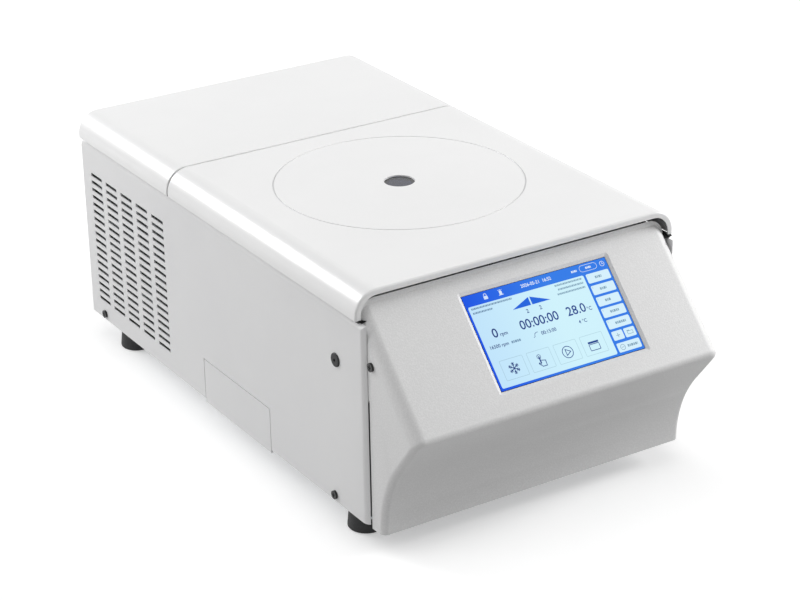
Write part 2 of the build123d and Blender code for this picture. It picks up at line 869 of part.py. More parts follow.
def make_side_panel(side):
    """A folded sheet side with vents; the left one has cut-outs for the tray and the plug."""
    deep = panel_flange
    block = box(-panel_width / 2, -panel_width / 2 + deep, panel_front_y, rear_y - panel_rear_gap,
                panel_bottom_z, panel_top_z)

    def folds(shape, x, y, z, r):
        top = shape.edges().filter_by(Axis.Y).filter_by_position(Axis.X, x - 0.01, x + 0.01)
        top = top.filter_by_position(Axis.Z, z - 0.01, z + 0.01)
        front = shape.edges().filter_by(Axis.Z).filter_by_position(Axis.X, x - 0.01, x + 0.01)
        front = front.filter_by_position(Axis.Y, y - 0.01, y + 0.01)
        return fillet(top + front, r)

    block = folds(block, -panel_width / 2, panel_front_y, panel_top_z, panel_fold)
    inner = box(
        -panel_width / 2 + sheet, -panel_width / 2 + deep + 1, panel_front_y + sheet, rear_y + 1,
        panel_bottom_z - 1, panel_top_z - sheet,
    )
    inner = folds(inner, -panel_width / 2 + sheet, panel_front_y + sheet, panel_top_z - sheet, panel_fold - sheet)
    panel = block - inner
    slots = []
    for column in range(vent_columns):
        rear = vent_rear_y - column * vent_column_pitch
        for row in range(vent_rows):
            z = vent_top_z - row * vent_row_pitch
            slots.append(box(-panel_width / 2 - 1, -panel_width / 2 + sheet + 0.5, rear - vent_length, rear,
                             z - vent_height, z))
    panel -= group(slots)
    for y in (side_screw_front_y, side_screw_rear_y):
        panel -= rod(screw_d + 2 * screw_fit, 2 * screw_l, (-panel_width / 2 - screw_l, y, side_screw_z), "X")
    if side > 0:
        return only(mirror(panel, Plane.YZ))
    panel -= box(
        -panel_width / 2 - 1, -panel_width / 2 + sheet + 0.5,
        tray_rear_y - tray_length - tray_gap, tray_rear_y + tray_gap,
        panel_bottom_z - 1, tray_top_z + tray_gap,
    )
    panel -= rod(plug_stem_d + 2 * plug_gap, 2 * screw_l, (-panel_width / 2 - screw_l, plug_y, plug_z), "X")
    return only(panel)


def make_chassis():
    """The base tray with upturned edges, lowered beside the condensate tray."""
    half = inner_half - fit_gap
    front = panel_front_y + panel_fold
    back = rear_panel_y - fit_gap
    top = floor_z + chassis_side
    floor = box(-half, half, front, back, floor_z, floor_top_z)
    for side in (-1, 1):
        x = side * (half - floor_t / 2)
        floor += box(x - floor_t / 2, x + floor_t / 2, front, back, floor_z, top)
    floor += box(-half, half, back - floor_t, back, floor_z, top)
    floor += box(-deck_half, deck_half, front, front + floor_t, floor_z, top)
    floor -= box(-half - cut_past, -half + floor_t + cut_past, tray_rear_y - tray_length - tray_clear,
                 tray_rear_y + tray_clear, floor_top_z, top + cut_past)
    for y in (side_screw_front_y, side_screw_rear_y):
        floor -= rod(screw_d + 2 * screw_fit, panel_width, (-panel_width / 2, y, side_screw_z), "X")
    return only(floor)


def make_deck():
    """The bench-shaped sheet under the lid: a flat top with the chamber opening, on two side walls."""
    front = fascia_brow_y + fascia_ledge + fit_gap
    deck = box(-deck_half, deck_half, front, deck_rear_y, deck_z - deck_sheet, deck_z)
    for side in (-1, 1):
        x = side * (deck_half - deck_sheet / 2)
        deck += box(x - deck_sheet / 2, x + deck_sheet / 2, front, deck_rear_y, floor_top_z, deck_z)
    deck -= rod(chamber_d + 2 * bowl_sheet + fit_gap, 4 * deck_sheet, (0, chamber_y, deck_z - 2 * deck_sheet))
    slot_half = striker_w / 2 + striker_slot_side
    deck -= box(-slot_half, slot_half, striker_y - striker_plate_half, striker_y + striker_plate_half,
                deck_z - 2 * deck_sheet, deck_z + cut_past)
    deck -= box(-deck_half - cut_past, -deck_half + deck_sheet + cut_past, tray_rear_y - tray_length - tray_clear,
                tray_rear_y + tray_clear, floor_z, tray_top_z + tray_clear)
    deck -= rod(plug_d, 4 * deck_sheet, (-deck_half - deck_sheet, plug_y, plug_z), "X")
    return only(deck)


# Chamber


def make_bowl():
    """The spun steel bowl with a rolled flange on the deck and a hole for the drive."""
    r = chamber_d / 2
    outer = rod(2 * (r + bowl_sheet), deck_z - bowl_floor_z + bowl_sheet, (0, chamber_y, bowl_floor_z - bowl_sheet))
    outer = fillet(outer.edges().sort_by(Axis.Z)[0], bowl_corner + bowl_sheet)
    inner = rod(2 * r, deck_z - bowl_floor_z + bowl_flange, (0, chamber_y, bowl_floor_z))
    inner = fillet(inner.edges().sort_by(Axis.Z)[0], bowl_corner)
    flange = ring(2 * (r + bowl_flange), 2 * r, deck_z, deck_z + bowl_sheet)
    bowl = outer + flange - inner
    return only(bowl - rod(bowl_hub_hole_d, 4 * bowl_sheet, (0, chamber_y, bowl_floor_z - 2 * bowl_sheet)))


def make_evaporator():
    """The flat band of evaporator tube wound round the bowl."""
    return only(ring(coil_outer_d, coil_inner_d, bowl_floor_z + bowl_corner, deck_z - deck_sheet - coil_low_gap))


def make_insulation():
    """The foam round and under the bowl and its evaporator."""
    block = rod(guard_inner_d - 2 * guard_fit, deck_z - deck_sheet - foam_low_z, (0, chamber_y, foam_low_z))
    well = rod(coil_inner_d, chamber_depth + bowl_flange, (0, chamber_y, bowl_floor_z - bowl_sheet))
    coil_well = rod(coil_outer_d + 2 * coil_fit, chamber_depth, (0, chamber_y, bowl_floor_z + bowl_corner))
    hub_hole = rod(bowl_hub_hole_d, 2 * foam_floor, (0, chamber_y, foam_low_z - cut_past))
    return only(block - well - coil_well - hub_hole)


def make_guard_ring():
    """The thick steel ring that would hold a broken rotor."""
    return only(ring(guard_outer_d, guard_inner_d, foam_low_z, deck_z - deck_sheet))


# Drive and rotor


def make_motor():
    """The drive motor: can, end bell and the neck that enters the bowl."""
    can = rod(motor_d, motor_plate_z - motor_low_z, (0, chamber_y, motor_low_z))
    can = fillet(can.edges().sort_by(Axis.Z)[0], motor_round)
    neck = rod(motor_neck_d, bowl_floor_z + motor_neck_past - motor_plate_z, (0, chamber_y, motor_plate_z))
    body = can + neck
    return only(body - rod(shaft_d + 2 * shaft_gap, height, (0, chamber_y, motor_low_z + motor_bell)))


def make_motor_plate():
    """The round plate that hangs the motor on its rubber mounts."""
    plate = ring(motor_plate_d, motor_neck_d + 2 * fit_gap, motor_plate_z, motor_plate_z + motor_plate_t)
    return only(plate)


def make_motor_dampers():
    """Four rubber mounts between the chassis floor and the motor plate."""
    low = floor_top_z
    waist_z = low + damper_foot
    places = []
    for quarter in range(4):
        angle = radians(45 + 90 * quarter)
        at = (damper_r * cos(angle), chamber_y + damper_r * sin(angle), low)
        stud = rod(damper_d, motor_plate_z - low, at)
        waist = rod(2 * damper_d, damper_waist_h, (at[0], at[1], waist_z))
        waist -= rod(damper_waist_d, damper_waist_h, (at[0], at[1], waist_z))
        places.append(stud - waist)
    return group(places)


def make_shaft():
    """The motor's shaft: a bearing length, the rotor seat and a thread for the nut."""
    low = motor_low_z + motor_bell + shaft_low_gap
    shaft = rod(shaft_d, rotor_hub_z - low, (0, chamber_y, low))
    shaft += rod(shaft_tip_d, nut_height - nut_cap, (0, chamber_y, rotor_hub_z))
    return only(shaft)


def make_rotor():
    """The 24-place angle rotor with tube bores leaning outward."""
    rim = rotor_d / 2
    low = rotor_floor_z
    lip_z = rotor_mouth_z + mouth_outer
    inner_r = tube_mouth_r - mouth_inner
    outer_r = tube_mouth_r + mouth_outer
    inner_z = rotor_mouth_z - mouth_inner * tan(radians(tube_angle_deg))
    with BuildPart() as rotor:
        with BuildSketch(Plane.XZ):
            with BuildLine():
                Polyline(
                    (0, low), (rim - rotor_rim_cut, low), (rim, low + rotor_rim_low), (rim, low + rotor_rim_high),
                    (outer_r + rotor_lip, lip_z), (outer_r, lip_z), (inner_r, inner_z),
                    (rotor_hub_r + hub_step, inner_z), (rotor_hub_r, rotor_hub_z), (0, rotor_hub_z), (0, low),
                )
            make_face()
        revolve(axis=Axis.Z)
    body = Pos(0, chamber_y, 0) * rotor.part
    bores = []
    for place in range(rotor_places):
        turn = Rot(0, 0, 360 * place / rotor_places)
        bore = Cylinder(tube_bore_d / 2, tube_bore_deep + tube_run_out)
        bore = Rot(0, 180 - tube_angle_deg, 0) * Pos(0, 0, (tube_bore_deep - tube_run_out) / 2) * bore
        bores.append(Pos(0, chamber_y, 0) * turn * Pos(tube_mouth_r, 0, rotor_mouth_z) * bore)
    body -= group(bores)
    return only(body - rod(shaft_d + 2 * fit_gap, height, (0, chamber_y, 0)))


def make_rotor_nut():
    """The hand nut that clamps the rotor, with finger scallops."""
    low = rotor_hub_z + nut_gap
    nut = rod(nut_d, nut_height, (0, chamber_y, low))
    nut = fillet(nut.edges().sort_by(Axis.Z)[-1], nut_round)
    scallop_r = nut_d / 2 + nut_scallop_out
    scallops = []
    for cut in range(nut_scallops):
        angle = 2 * pi * cut / nut_scallops
        at = (scallop_r * cos(angle), chamber_y + scallop_r * sin(angle), low + nut_scallop_low)
        scallops.append(rod(nut_scallop_d, nut_height, at))
    nut -= group(scallops)
    return only(nut - rod(shaft_tip_d + 2 * fit_gap, nut_height - 2, (0, chamber_y, low - 1)))


# Latch


def hook_turn(shape, angle):
    """Turn a piece of the latch about the hook's pivot."""
    return Pos(0, hook_pivot_y, hook_pivot_z) * Rot(angle, 0, 0) * Pos(0, -hook_pivot_y, -hook_pivot_z) * shape


def make_hook():
    """The latch hook, drawn locked over the striker and then turned back to its free rest."""
    nose_low = striker_low_z + striker_d + hook_nose_gap
    nose_high = nose_low + hook_nose_h
    half = hook_t / 2
    arm_back = hook_pivot_y + hook_arm_half
    hook = box(-half, half, hook_pivot_y - hook_arm_half, arm_back, hook_pivot_z, nose_high)
    hook += box(-half, half, striker_y - hook_nose_past, arm_back, nose_low, nose_high)
    hook += rod(hook_boss_d, hook_t, (-half, hook_pivot_y, hook_pivot_z), "X")
    hook += box(-half, half, hook_pivot_y, hook_pivot_y + hook_tail_l,
                hook_pivot_z - hook_tail_half, hook_pivot_z + hook_tail_half)
    hook -= rod(hook_pin_d + 2 * pin_gap, 2 * hook_t, (-hook_t, hook_pivot_y, hook_pivot_z), "X")
    return only(hook_turn(hook, -hook_unlock_deg))


def latch_half():
    """Half the inner width of the latch bracket."""
    return hook_t / 2 + latch_side_gap


def make_latch_bracket():
    """The U-shaped bracket under the deck that carries the hook's pin."""
    top = deck_z - deck_sheet
    low = hook_pivot_z - latch_drop
    half = latch_half()
    outer = half + latch_plate_t
    y0 = hook_pivot_y - latch_front
    y1 = hook_pivot_y + latch_rear
    ear_y = y0 + latch_ear_front + latch_front
    bracket = box(-outer, outer, y0, y1, low - latch_plate_t, top)
    bracket -= box(-half, half, y0 - cut_past, y1 + cut_past, low, top + cut_past)
    bracket += box(half, half + latch_ear, ear_y, y1, top - latch_plate_t, top)
    bracket += box(-half - latch_ear, -half, ear_y, y1, top - latch_plate_t, top)
    return only(bracket - rod(hook_pin_d + 2 * pin_gap, 4 * outer, (-2 * outer, hook_pivot_y, hook_pivot_z), "X"))


def make_hook_pin():
    """The pin that the hook turns on."""
    half = latch_half() + latch_plate_t
    return rod(hook_pin_d, 2 * half, (-half, hook_pivot_y, hook_pivot_z), "X")


def make_latch_motor():
    """The small geared motor beside the hook."""
    x = latch_half() + latch_plate_t + fit_gap
    y = hook_pivot_y + latch_motor_back
    z = hook_pivot_z - latch_motor_down
    motor = rod(latch_motor_d, latch_motor_l, (x, y, z), "X")
    return only(motor + rod(latch_motor_tail_d, latch_motor_tail_l, (x + latch_motor_l, y, z), "X"))


# Refrigeration


def make_compressor():
    """The sealed compressor can with its base plate and terminal box."""
    low = compressor_low_z
    base_top = low + compressor_base_t
    can = rod(compressor_d, compressor_h, (compressor_x, bay_y, base_top))
    can = fillet(can.edges().filter_by(GeomType.CIRCLE).sort_by(Axis.Z)[-1], compressor_top_round)
    can = fillet(can.edges().filter_by(GeomType.CIRCLE).sort_by(Axis.Z)[0], compressor_low_round)
    seam = rod(compressor_d + 2 * weld_side, weld_side, (compressor_x, bay_y, low + weld_up))
    half = compressor_d / 2 + compressor_base_side
    base = box(compressor_x - half, compressor_x + half, bay_y - half, bay_y + half, low, base_top)
    base = fillet(base.edges().filter_by(Axis.Z), compressor_base_round)
    back = bay_y + compressor_d / 2
    terminals = box(compressor_x - terminal_w / 2, compressor_x + terminal_w / 2, back - terminal_in,
                    back + terminal_out, low + terminal_up, low + terminal_up + terminal_h)
    return only(can + seam + base + terminals)


def make_compressor_mounts():
    """Four rubber grommets under the compressor's base."""
    reach = compressor_d / 2 - grommet_inset
    places = [(compressor_x + sx * reach, bay_y + sy * reach, floor_top_z) for sx in (-1, 1) for sy in (-1, 1)]
    return group([rod(grommet_d, compressor_lift, at) for at in places])


def make_condenser():
    """The finned condenser block: upright fins on rows of tube."""
    x1 = condenser_x + condenser_t
    y0 = bay_y - condenser_l / 2
    block = None
    pitch = (condenser_l - fin_t) / (condenser_fins - 1)
    for fin in range(condenser_fins):
        y = y0 + fin * pitch
        plate = box(condenser_x, x1, y, y + fin_t, condenser_z, condenser_z + condenser_h)
        block = plate if block is None else block + plate
    for row in range(condenser_rows):
        z = condenser_z + condenser_h * (row + 0.5) / condenser_rows
        block += box(condenser_x + tube_inset, x1 - tube_inset, y0, y0 + condenser_l, z - tube_half, z + tube_half)
    return only(block)


def make_fan_shroud():
    """The square fan frame with its round throat and four motor struts."""
    half = fan_frame / 2
    frame = box(fan_x, fan_x + fan_frame_t, bay_y - half, bay_y + half, fan_z - half, fan_z + half)
    frame = fillet(frame.edges().filter_by(Axis.X), fan_corner)
    throat = fan_d + 2 * fan_tip_gap
    frame -= rod(throat, 2 * fan_frame_t, (fan_x - cut_past, bay_y, fan_z), "X")
    x1 = fan_x + fan_frame_t
    for quarter in range(4):
        strut = box(x1 - fan_strut_t, x1, -fan_strut_w / 2, fan_strut_w / 2,
                    fan_hub_d / 2 - fan_strut_t, throat / 2 + fan_strut_w / 2)
        frame += Pos(0, bay_y, fan_z) * Rot(45 + 90 * quarter, 0, 0) * strut
    frame += rod(fan_hub_d, fan_strut_t, (x1 - fan_strut_t, bay_y, fan_z), "X")
    frame -= rod(fan_shaft_d + 2 * pin_gap, 2 * fan_frame_t, (fan_x, bay_y, fan_z), "X")
    return only(frame)


def make_fan_blades():
    """The fan's hub with its pitched blades and stub shaft."""
    x0 = fan_x + fan_front_gap
    deep = fan_frame_t - fan_front_gap - fan_back_gap
    hub = rod(fan_hub_d, deep, (x0, bay_y, fan_z), "X")
    stub = rod(fan_shaft_d, fan_shaft_l, (x0 + deep, bay_y, fan_z), "X")
    blades = []
    for place in range(fan_blades):
        blade = box(-fan_blade_t / 2, fan_blade_t / 2, -fan_chord / 2, fan_chord / 2,
                    fan_hub_d / 2 - fan_strut_t, fan_d / 2 + fan_strut_w)
        blade = Rot(0, 0, fan_blade_pitch) * blade
        blade = Rot(360 * place / fan_blades, 0, 0) * blade
        blades.append(Pos(x0 + deep / 2, bay_y, fan_z) * blade)
    swept = rod(fan_d, deep, (x0, bay_y, fan_z), "X")
    fan = hub + stub
    for blade in blades:
        fan += blade & swept
    return only(fan)


def make_drier():
    """The copper filter drier with its necked ends."""
    body = rod(drier_d, drier_l, (drier_x, drier_y, drier_z))
    body = chamfer(body.edges().filter_by(GeomType.CIRCLE), drier_chamfer)
    neck = rod(pipe_d, drier_l + 2 * drier_neck, (drier_x, drier_y, drier_z - drier_neck))
    return only(body + neck)


def pipe(points, bend):
    """A copper pipe along straight runs with round bends."""
    path = FilletPolyline(*points, radius=bend)
    profile = Plane(origin=path @ 0, z_dir=path % 0) * Circle(pipe_d / 2)
    return sweep(profile, path=path)


def make_discharge_pipe():
    """The pipe from the compressor's top over to the condenser."""
    x = compressor_x - compressor_d * 0.3
    y = bay_y - compressor_d * 0.2
    end = condenser_x + condenser_t / 2
    low = condenser_z + condenser_h + fit_gap
    can_top = compressor_low_z + compressor_base_t + compressor_h
    points = [(x, y, can_top - pipe_d / 2), (x, y, pipe_run_z), (end, y, pipe_run_z), (end, y, low)]
    return only(pipe(points, pipe_bend))


# Electronics


def on_board(size, at):
    """A part that stands off the mains board towards the machine's middle."""
    deep, length, high = size
    y, z = board_y + at[0], board_z + at[1]
    return box(board_x - deep, board_x, y, y + length, z, z + high)


def make_power_board():
    """The mains board on the rear right, with its filter choke, capacitors and relay."""
    board = box(board_x, board_x + board_t, board_y, board_y + board_l, board_z, board_z + board_h)
    board += on_board(choke, choke_at)
    board += on_board(relay, relay_at)
    for row in range(2):
        at = (board_x - capacitor_l, board_y + capacitor_y, board_z + capacitor_low + row * capacitor_pitch)
        board += rod(capacitor_d, capacitor_l, at, "X")
    return only(board)


def make_drive_board():
    """The motor drive board on the right side wall, with its finned heat sink."""
    x0 = deck_half - deck_sheet - drive_post
    y0 = drive_board_y
    y1 = drive_board_y + drive_board_l
    z0 = drive_board_z
    z1 = drive_board_z + drive_board_h
    board = box(x0, x0 + board_t, y0, y1, z0, z1)
    board += box(x0 - sink_base, x0, y0 + sink_inset, y1 - sink_inset, z0 + sink_low, z1 - sink_high)
    pitch = (y1 - y0 - 2 * sink_inset - sink_fin_t) / (sink_fins - 1)
    for fin in range(sink_fins):
        y = y0 + sink_inset + fin * pitch
        board += box(x0 - sink_deep, x0 - sink_base, y, y + sink_fin_t, z0 + sink_low, z1 - sink_high)
    for y in (y0 + drive_post_inset, y1 - drive_post_inset):
        for z in (z0 + drive_post_inset, z1 - drive_post_inset):
            board += rod(drive_post_d, drive_post - board_t, (x0 + board_t, y, z), "X")
    return only(board)


# Rear panel


def make_rear_panel():
    """The rear sheet with its air slots and the holes for inlet, switch and fuses."""
    half = inner_half - screw_fit
    y0 = rear_panel_y
    panel = box(-half, half, y0, rear_face_y, panel_bottom_z, panel_top_z - sheet - fit_gap)
    corners = panel.edges().filter_by(Axis.Y).filter_by_position(Axis.Z, panel_top_z / 2, panel_top_z)
    panel = fillet(corners, panel_fold)
    front = y0 - cut_past
    back = rear_face_y + cut_past
    slots = []
    for column in range(rear_columns):
        x = rear_vent_x + column * rear_column_pitch
        for row in range(rear_rows):
            z = vent_top_z - row * rear_row_pitch
            slots.append(box(x, x + rear_vent_l, front, back, z - vent_height, z))
    panel -= group(slots)
    cut_w = inlet_w / 2 + panel_cut_gap
    cut_h = inlet_h / 2 + panel_cut_gap
    panel -= box(inlet_x - cut_w, inlet_x + cut_w, front, back, inlet_z - cut_h, inlet_z + cut_h)
    cut_w = rocker_w / 2 + switch_wall + panel_cut_gap
    cut_h = rocker_h / 2 + switch_wall + panel_cut_gap
    panel -= box(inlet_x - cut_w, inlet_x + cut_w, front, back, rocker_z - cut_h, rocker_z + cut_h)
    for side in (-1, 1):
        at = (fuse_x, front, inlet_z + side * fuse_pitch / 2)
        panel -= rod(fuse_d + 2 * fuse_fit, rear_sheet + 2 * cut_past, at, "Y")
    for x, z in rear_screw_places():
        panel -= rod(screw_d + 2 * screw_fit, rear_sheet + 2 * cut_past, (x, front, z), "Y")
    return only(panel)


def rear_screw_places():
    """Where the four screws of the rear panel sit, seen from behind."""
    low = floor_z + chassis_side / 2
    return [(side * (inner_half - rear_screw_inset), z) for side in (-1, 1) for z in (low, vent_top_z)]


def make_rear_screws():
    """Four pan-headed screws in the rear panel, with cross slots."""
    screws = []
    for x, z in rear_screw_places():
        screw = rod(rear_screw_d, rear_screw_t, (x, rear_face_y, z), "Y")
        screw += rod(screw_d, rear_sheet, (x, rear_panel_y, z), "Y")
        slot_y = rear_face_y + rear_screw_t - screw_slot_deep
        for wide, high in ((screw_slot_l, screw_slot_w), (screw_slot_w, screw_slot_l)):
            screw -= box(x - wide / 2, x + wide / 2, slot_y, slot_y + rear_screw_t, z - high / 2, z + high / 2)
        screws.append(screw)
    return group(screws)


def make_inlet():
    """The mains inlet socket: flange, sunk cavity and three flat pins."""
    y1 = rear_face_y
    half_w = inlet_w / 2
    half_h = inlet_h / 2
    flange = box(inlet_x - inlet_plate_w / 2, inlet_x + inlet_plate_w / 2, y1, y1 + inlet_plate_t,
                 inlet_z - inlet_plate_h / 2, inlet_z + inlet_plate_h / 2)
    flange = fillet(flange.edges().filter_by(Axis.Y), inlet_plate_round)
    body = box(inlet_x - half_w, inlet_x + half_w, y1 - inlet_deep - inlet_floor, y1, inlet_z - half_h, inlet_z + half_h)
    socket = box(inlet_x - half_w + inlet_wall, inlet_x + half_w - inlet_wall, y1 - inlet_deep,
                 y1 + inlet_plate_t + cut_past, inlet_z - half_h + inlet_wall, inlet_z + half_h - inlet_wall)
    socket = chamfer(socket.edges().filter_by(Axis.Y).sort_by(Axis.Z)[:2], inlet_corner)
    inlet = flange + body - socket
    for dx, dz in ((-pin_pitch, -pin_raise), (0, pin_raise), (pin_pitch, -pin_raise)):
        x = inlet_x + dx
        z = inlet_z + dz
        inlet += box(x - pin_w / 2, x + pin_w / 2, y1 - inlet_deep - cut_past, y1 - pin_back, z - pin_h / 2, z + pin_h / 2)
    return only(inlet)


def rocker_axle(gap):
    """The rocker's axle, or with a gap its bearing holes."""
    length = rocker_w + 2 * rocker_axle_out
    at = (inlet_x - length / 2, rear_face_y - rocker_pivot_in, rocker_z)
    return rod(rocker_axle_d + 2 * gap, length, at, "X")


def make_switch_frame():
    """The rocker switch's frame and body, open at the face."""
    y1 = rear_face_y
    lip_w = rocker_w / 2 + switch_lip
    lip_h = rocker_h / 2 + switch_lip
    frame = box(inlet_x - lip_w, inlet_x + lip_w, y1, y1 + switch_lip_t, rocker_z - lip_h, rocker_z + lip_h)
    body_w = rocker_w / 2 + switch_wall
    body_h = rocker_h / 2 + switch_wall
    body = box(inlet_x - body_w, inlet_x + body_w, y1 - switch_deep, y1, rocker_z - body_h, rocker_z + body_h)
    well_w = rocker_w / 2 + rocker_side_gap
    well_h = rocker_h / 2 + rocker_end_gap
    well = box(inlet_x - well_w, inlet_x + well_w, y1 - switch_well, y1 + switch_lip_t + cut_past,
               rocker_z - well_h, rocker_z + well_h)
    return only(frame + body - well - rocker_axle(pin_gap))


def make_rocker():
    """The rocker on its axle: a shallow V seen from the side, drawn tipped to off."""
    y1 = rear_face_y
    half = rocker_h / 2
    dip = y1 + rocker_proud
    tip = dip + tan(radians(rocker_swing_deg / 2)) * half
    deep = y1 - rocker_deep
    with BuildPart() as key:
        with BuildSketch(Plane.YZ.offset(inlet_x - rocker_w / 2)):
            with BuildLine():
                Polyline((deep, rocker_z - rocker_base_half), (tip, rocker_z - half), (dip, rocker_z),
                         (tip, rocker_z + half), (deep, rocker_z + rocker_base_half),
                         (deep, rocker_z - rocker_base_half))
            make_face()
        extrude(amount=rocker_w)
    pivot_y = y1 - rocker_pivot_in
    tipped = Pos(0, pivot_y, rocker_z) * Rot(-rocker_swing_deg / 2, 0, 0) * Pos(0, -pivot_y, -rocker_z) * key.part
    return only(tipped + rocker_axle(0))


def make_fuse_holders():
    """Two screw-in fuse carriers beside the inlet."""
    y1 = rear_face_y
    face = y1 + fuse_cap_t
    holders = []
    for side in (-1, 1):
        z = inlet_z + side * fuse_pitch / 2
        cap = rod(fuse_d + 2 * fuse_rim, fuse_cap_t, (fuse_x, y1, z), "Y")
        cap += rod(fuse_d, fuse_deep, (fuse_x, y1 - fuse_deep, z), "Y")
        cap -= box(fuse_x - fuse_slot_w / 2, fuse_x + fuse_slot_w / 2, face - fuse_slot_deep, face + cut_past,
                   z - fuse_slot_l / 2, z + fuse_slot_l / 2)
        holders.append(cap)
    return group(holders)


# Small outer parts


def make_plug():
    """The release plug: a dished head on a stem with a pull eye."""
    x = -panel_width / 2
    head = rod(plug_d, plug_head_t, (x - plug_head_t, plug_y, plug_z), "X")
    head = fillet(head.edges().filter_by(GeomType.CIRCLE).sort_by(Axis.X)[0], plug_round)
    stem = rod(plug_stem_d, plug_stem_l, (x, plug_y, plug_z), "X")
    return only(head + stem - rod(plug_eye_d, plug_stem_d, (x - plug_head_t - cut_past, plug_y, plug_z), "X"))


def make_tray():
    """The condensate tray: a front plate level with the side panel and a shallow box behind it."""
    x0 = -panel_width / 2
    y0 = tray_rear_y - tray_length
    front = box(x0, x0 + tray_wall, y0, tray_rear_y, tray_bottom_z, tray_top_z)
    pan = box(x0, x0 + tray_reach, y0 + tray_box_inset, tray_rear_y - tray_box_inset,
              tray_box_low_z, tray_box_high_z)
    pan -= box(x0 + tray_wall, x0 + tray_reach - tray_wall, y0 + tray_box_inset + tray_wall,
               tray_rear_y - tray_box_inset - tray_wall, tray_box_low_z + tray_wall, tray_box_high_z + cut_past)
    return only(front + pan)


def make_foot(x, y):
    """A rubber foot, wider at the bench, with a sunk screw."""
    foot = Pos(x, y, floor_z / 2) * Cone(foot_d / 2, foot_top_d / 2, floor_z)
    foot = fillet(foot.edges().filter_by(GeomType.CIRCLE).sort_by(Axis.Z)[0], foot_round)
    return only(foot - rod(foot_screw_d, foot_screw_deep + cut_past, (x, y, -cut_past)))


def side_screw(x, y, z, side):
    """A flat-headed screw in a side face with a cross slot."""
    head_x = x if side > 0 else x - screw_head_t
    head = rod(screw_head_d, screw_head_t, (head_x, y, z), "X")
    shank_x = x - screw_l if side > 0 else x
    screw = head + rod(screw_d, screw_l, (shank_x, y, z), "X")
    face_x = x + side * screw_head_t
    slot_x = face_x - screw_slot_deep if side > 0 else face_x - screw_head_t + screw_slot_deep
    for long_y, long_z in ((screw_slot_l, screw_slot_w), (screw_slot_w, screw_slot_l)):
        screw -= box(slot_x, slot_x + screw_head_t, y - long_y / 2, y + long_y / 2, z - long_z / 2, z + long_z / 2)
    return screw


nodes = {}


def add(name, shape):
    """Keep one named piece of the machine."""
    shape.label = name
    nodes[name] = shape


add("lid_shell", make_lid_shell())
add("rear_top_cover", make_rear_cover())
add("lid_lining", make_lid_lining())
add("lid_sight_glass", make_sight_glass())
add("lid_insulation", make_lid_foam())
add("lid_gasket", make_lid_gasket())
add("lid_striker", striker_loop())
add("hinge_rod", make_hinge_rod())
for side, word in ((-1, "left"), (1, "right")):
    add(f"hinge_bracket_{word}", make_fixed_bracket(side * hinge_x))
    add(f"lid_hinge_leaf_{word}", make_hinge_leaf(side * hinge_x))
    add(f"side_panel_{word}", make_side_panel(side))
add("front_fascia", make_fascia())
add("touch_glass", make_touch_glass())
add("display_panel", make_display_panel())
add("display_board", make_display_board())
add("chassis_tray", make_chassis())
add("top_deck", make_deck())
add("chamber_bowl", make_bowl())
add("evaporator_coil", make_evaporator())
add("chamber_insulation", make_insulation())
add("guard_ring", make_guard_ring())
add("drive_motor", make_motor())
add("motor_plate", make_motor_plate())
add("motor_dampers", make_motor_dampers())
add("rotor_shaft", make_shaft())
add("angle_rotor", make_rotor())
add("rotor_nut", make_rotor_nut())
add("latch_hook", make_hook())
add("latch_bracket", make_latch_bracket())
add("hook_pin", make_hook_pin())
add("latch_motor", make_latch_motor())
add("compressor", make_compressor())
add("compressor_mounts", make_compressor_mounts())
add("condenser", make_condenser())
add("fan_shroud", make_fan_shroud())
add("fan_blades", make_fan_blades())
add("filter_drier", make_drier())
add("discharge_pipe", make_discharge_pipe())
add("power_board", make_power_board())
add("drive_board", make_drive_board())
add("rear_panel", make_rear_panel())
add("rear_screws", make_rear_screws())
add("mains_inlet", make_inlet())
add("switch_frame", make_switch_frame())
add("power_rocker", make_rocker())
add("fuse_holders", make_fuse_holders())
add("release_plug", make_plug())
add("condensate_tray", make_tray())
for x, side_word in ((-foot_x, "left"), (foot_x, "right")):
    add(f"foot_front_{side_word}", make_foot(x, foot_front_y))
    add(f"foot_rear_{side_word}", make_foot(x, foot_rear_y))
panel_screws = []
for side in (-1, 1):
    for y in (side_screw_front_y, side_screw_rear_y):
        panel_screws.append(side_screw(side * panel_width / 2, y, side_screw_z, side))
add("panel_screws", group(panel_screws))
fascia_screws = [side_screw(side * fascia_width / 2, fascia_screw_y, fascia_screw_z, side) for side in (-1, 1)]
add("fascia_screws", group(fascia_screws))

for name, shape in nodes.items():
    export_step(shape, f"parts/{name}.step")
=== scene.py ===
"""The looks of a bench refrigerated microcentrifuge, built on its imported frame."""

import math

import bmesh
import bpy
from mathutils import Matrix, Vector
from mathutils.bvhtree import BVHTree


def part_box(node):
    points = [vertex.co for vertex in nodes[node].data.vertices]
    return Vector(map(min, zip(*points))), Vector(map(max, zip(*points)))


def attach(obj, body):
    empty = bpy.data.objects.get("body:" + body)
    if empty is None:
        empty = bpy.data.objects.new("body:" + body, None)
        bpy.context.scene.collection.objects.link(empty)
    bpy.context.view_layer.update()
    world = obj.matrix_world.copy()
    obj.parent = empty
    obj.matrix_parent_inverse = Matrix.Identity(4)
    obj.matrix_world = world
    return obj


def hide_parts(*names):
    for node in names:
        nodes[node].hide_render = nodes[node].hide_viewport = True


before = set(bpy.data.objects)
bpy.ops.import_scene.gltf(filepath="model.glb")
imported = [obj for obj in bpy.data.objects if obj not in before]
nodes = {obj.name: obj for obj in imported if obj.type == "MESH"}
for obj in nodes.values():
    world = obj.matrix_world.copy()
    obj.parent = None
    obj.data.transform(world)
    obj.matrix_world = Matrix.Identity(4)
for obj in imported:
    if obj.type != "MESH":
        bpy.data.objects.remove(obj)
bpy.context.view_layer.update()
MM = 0.001

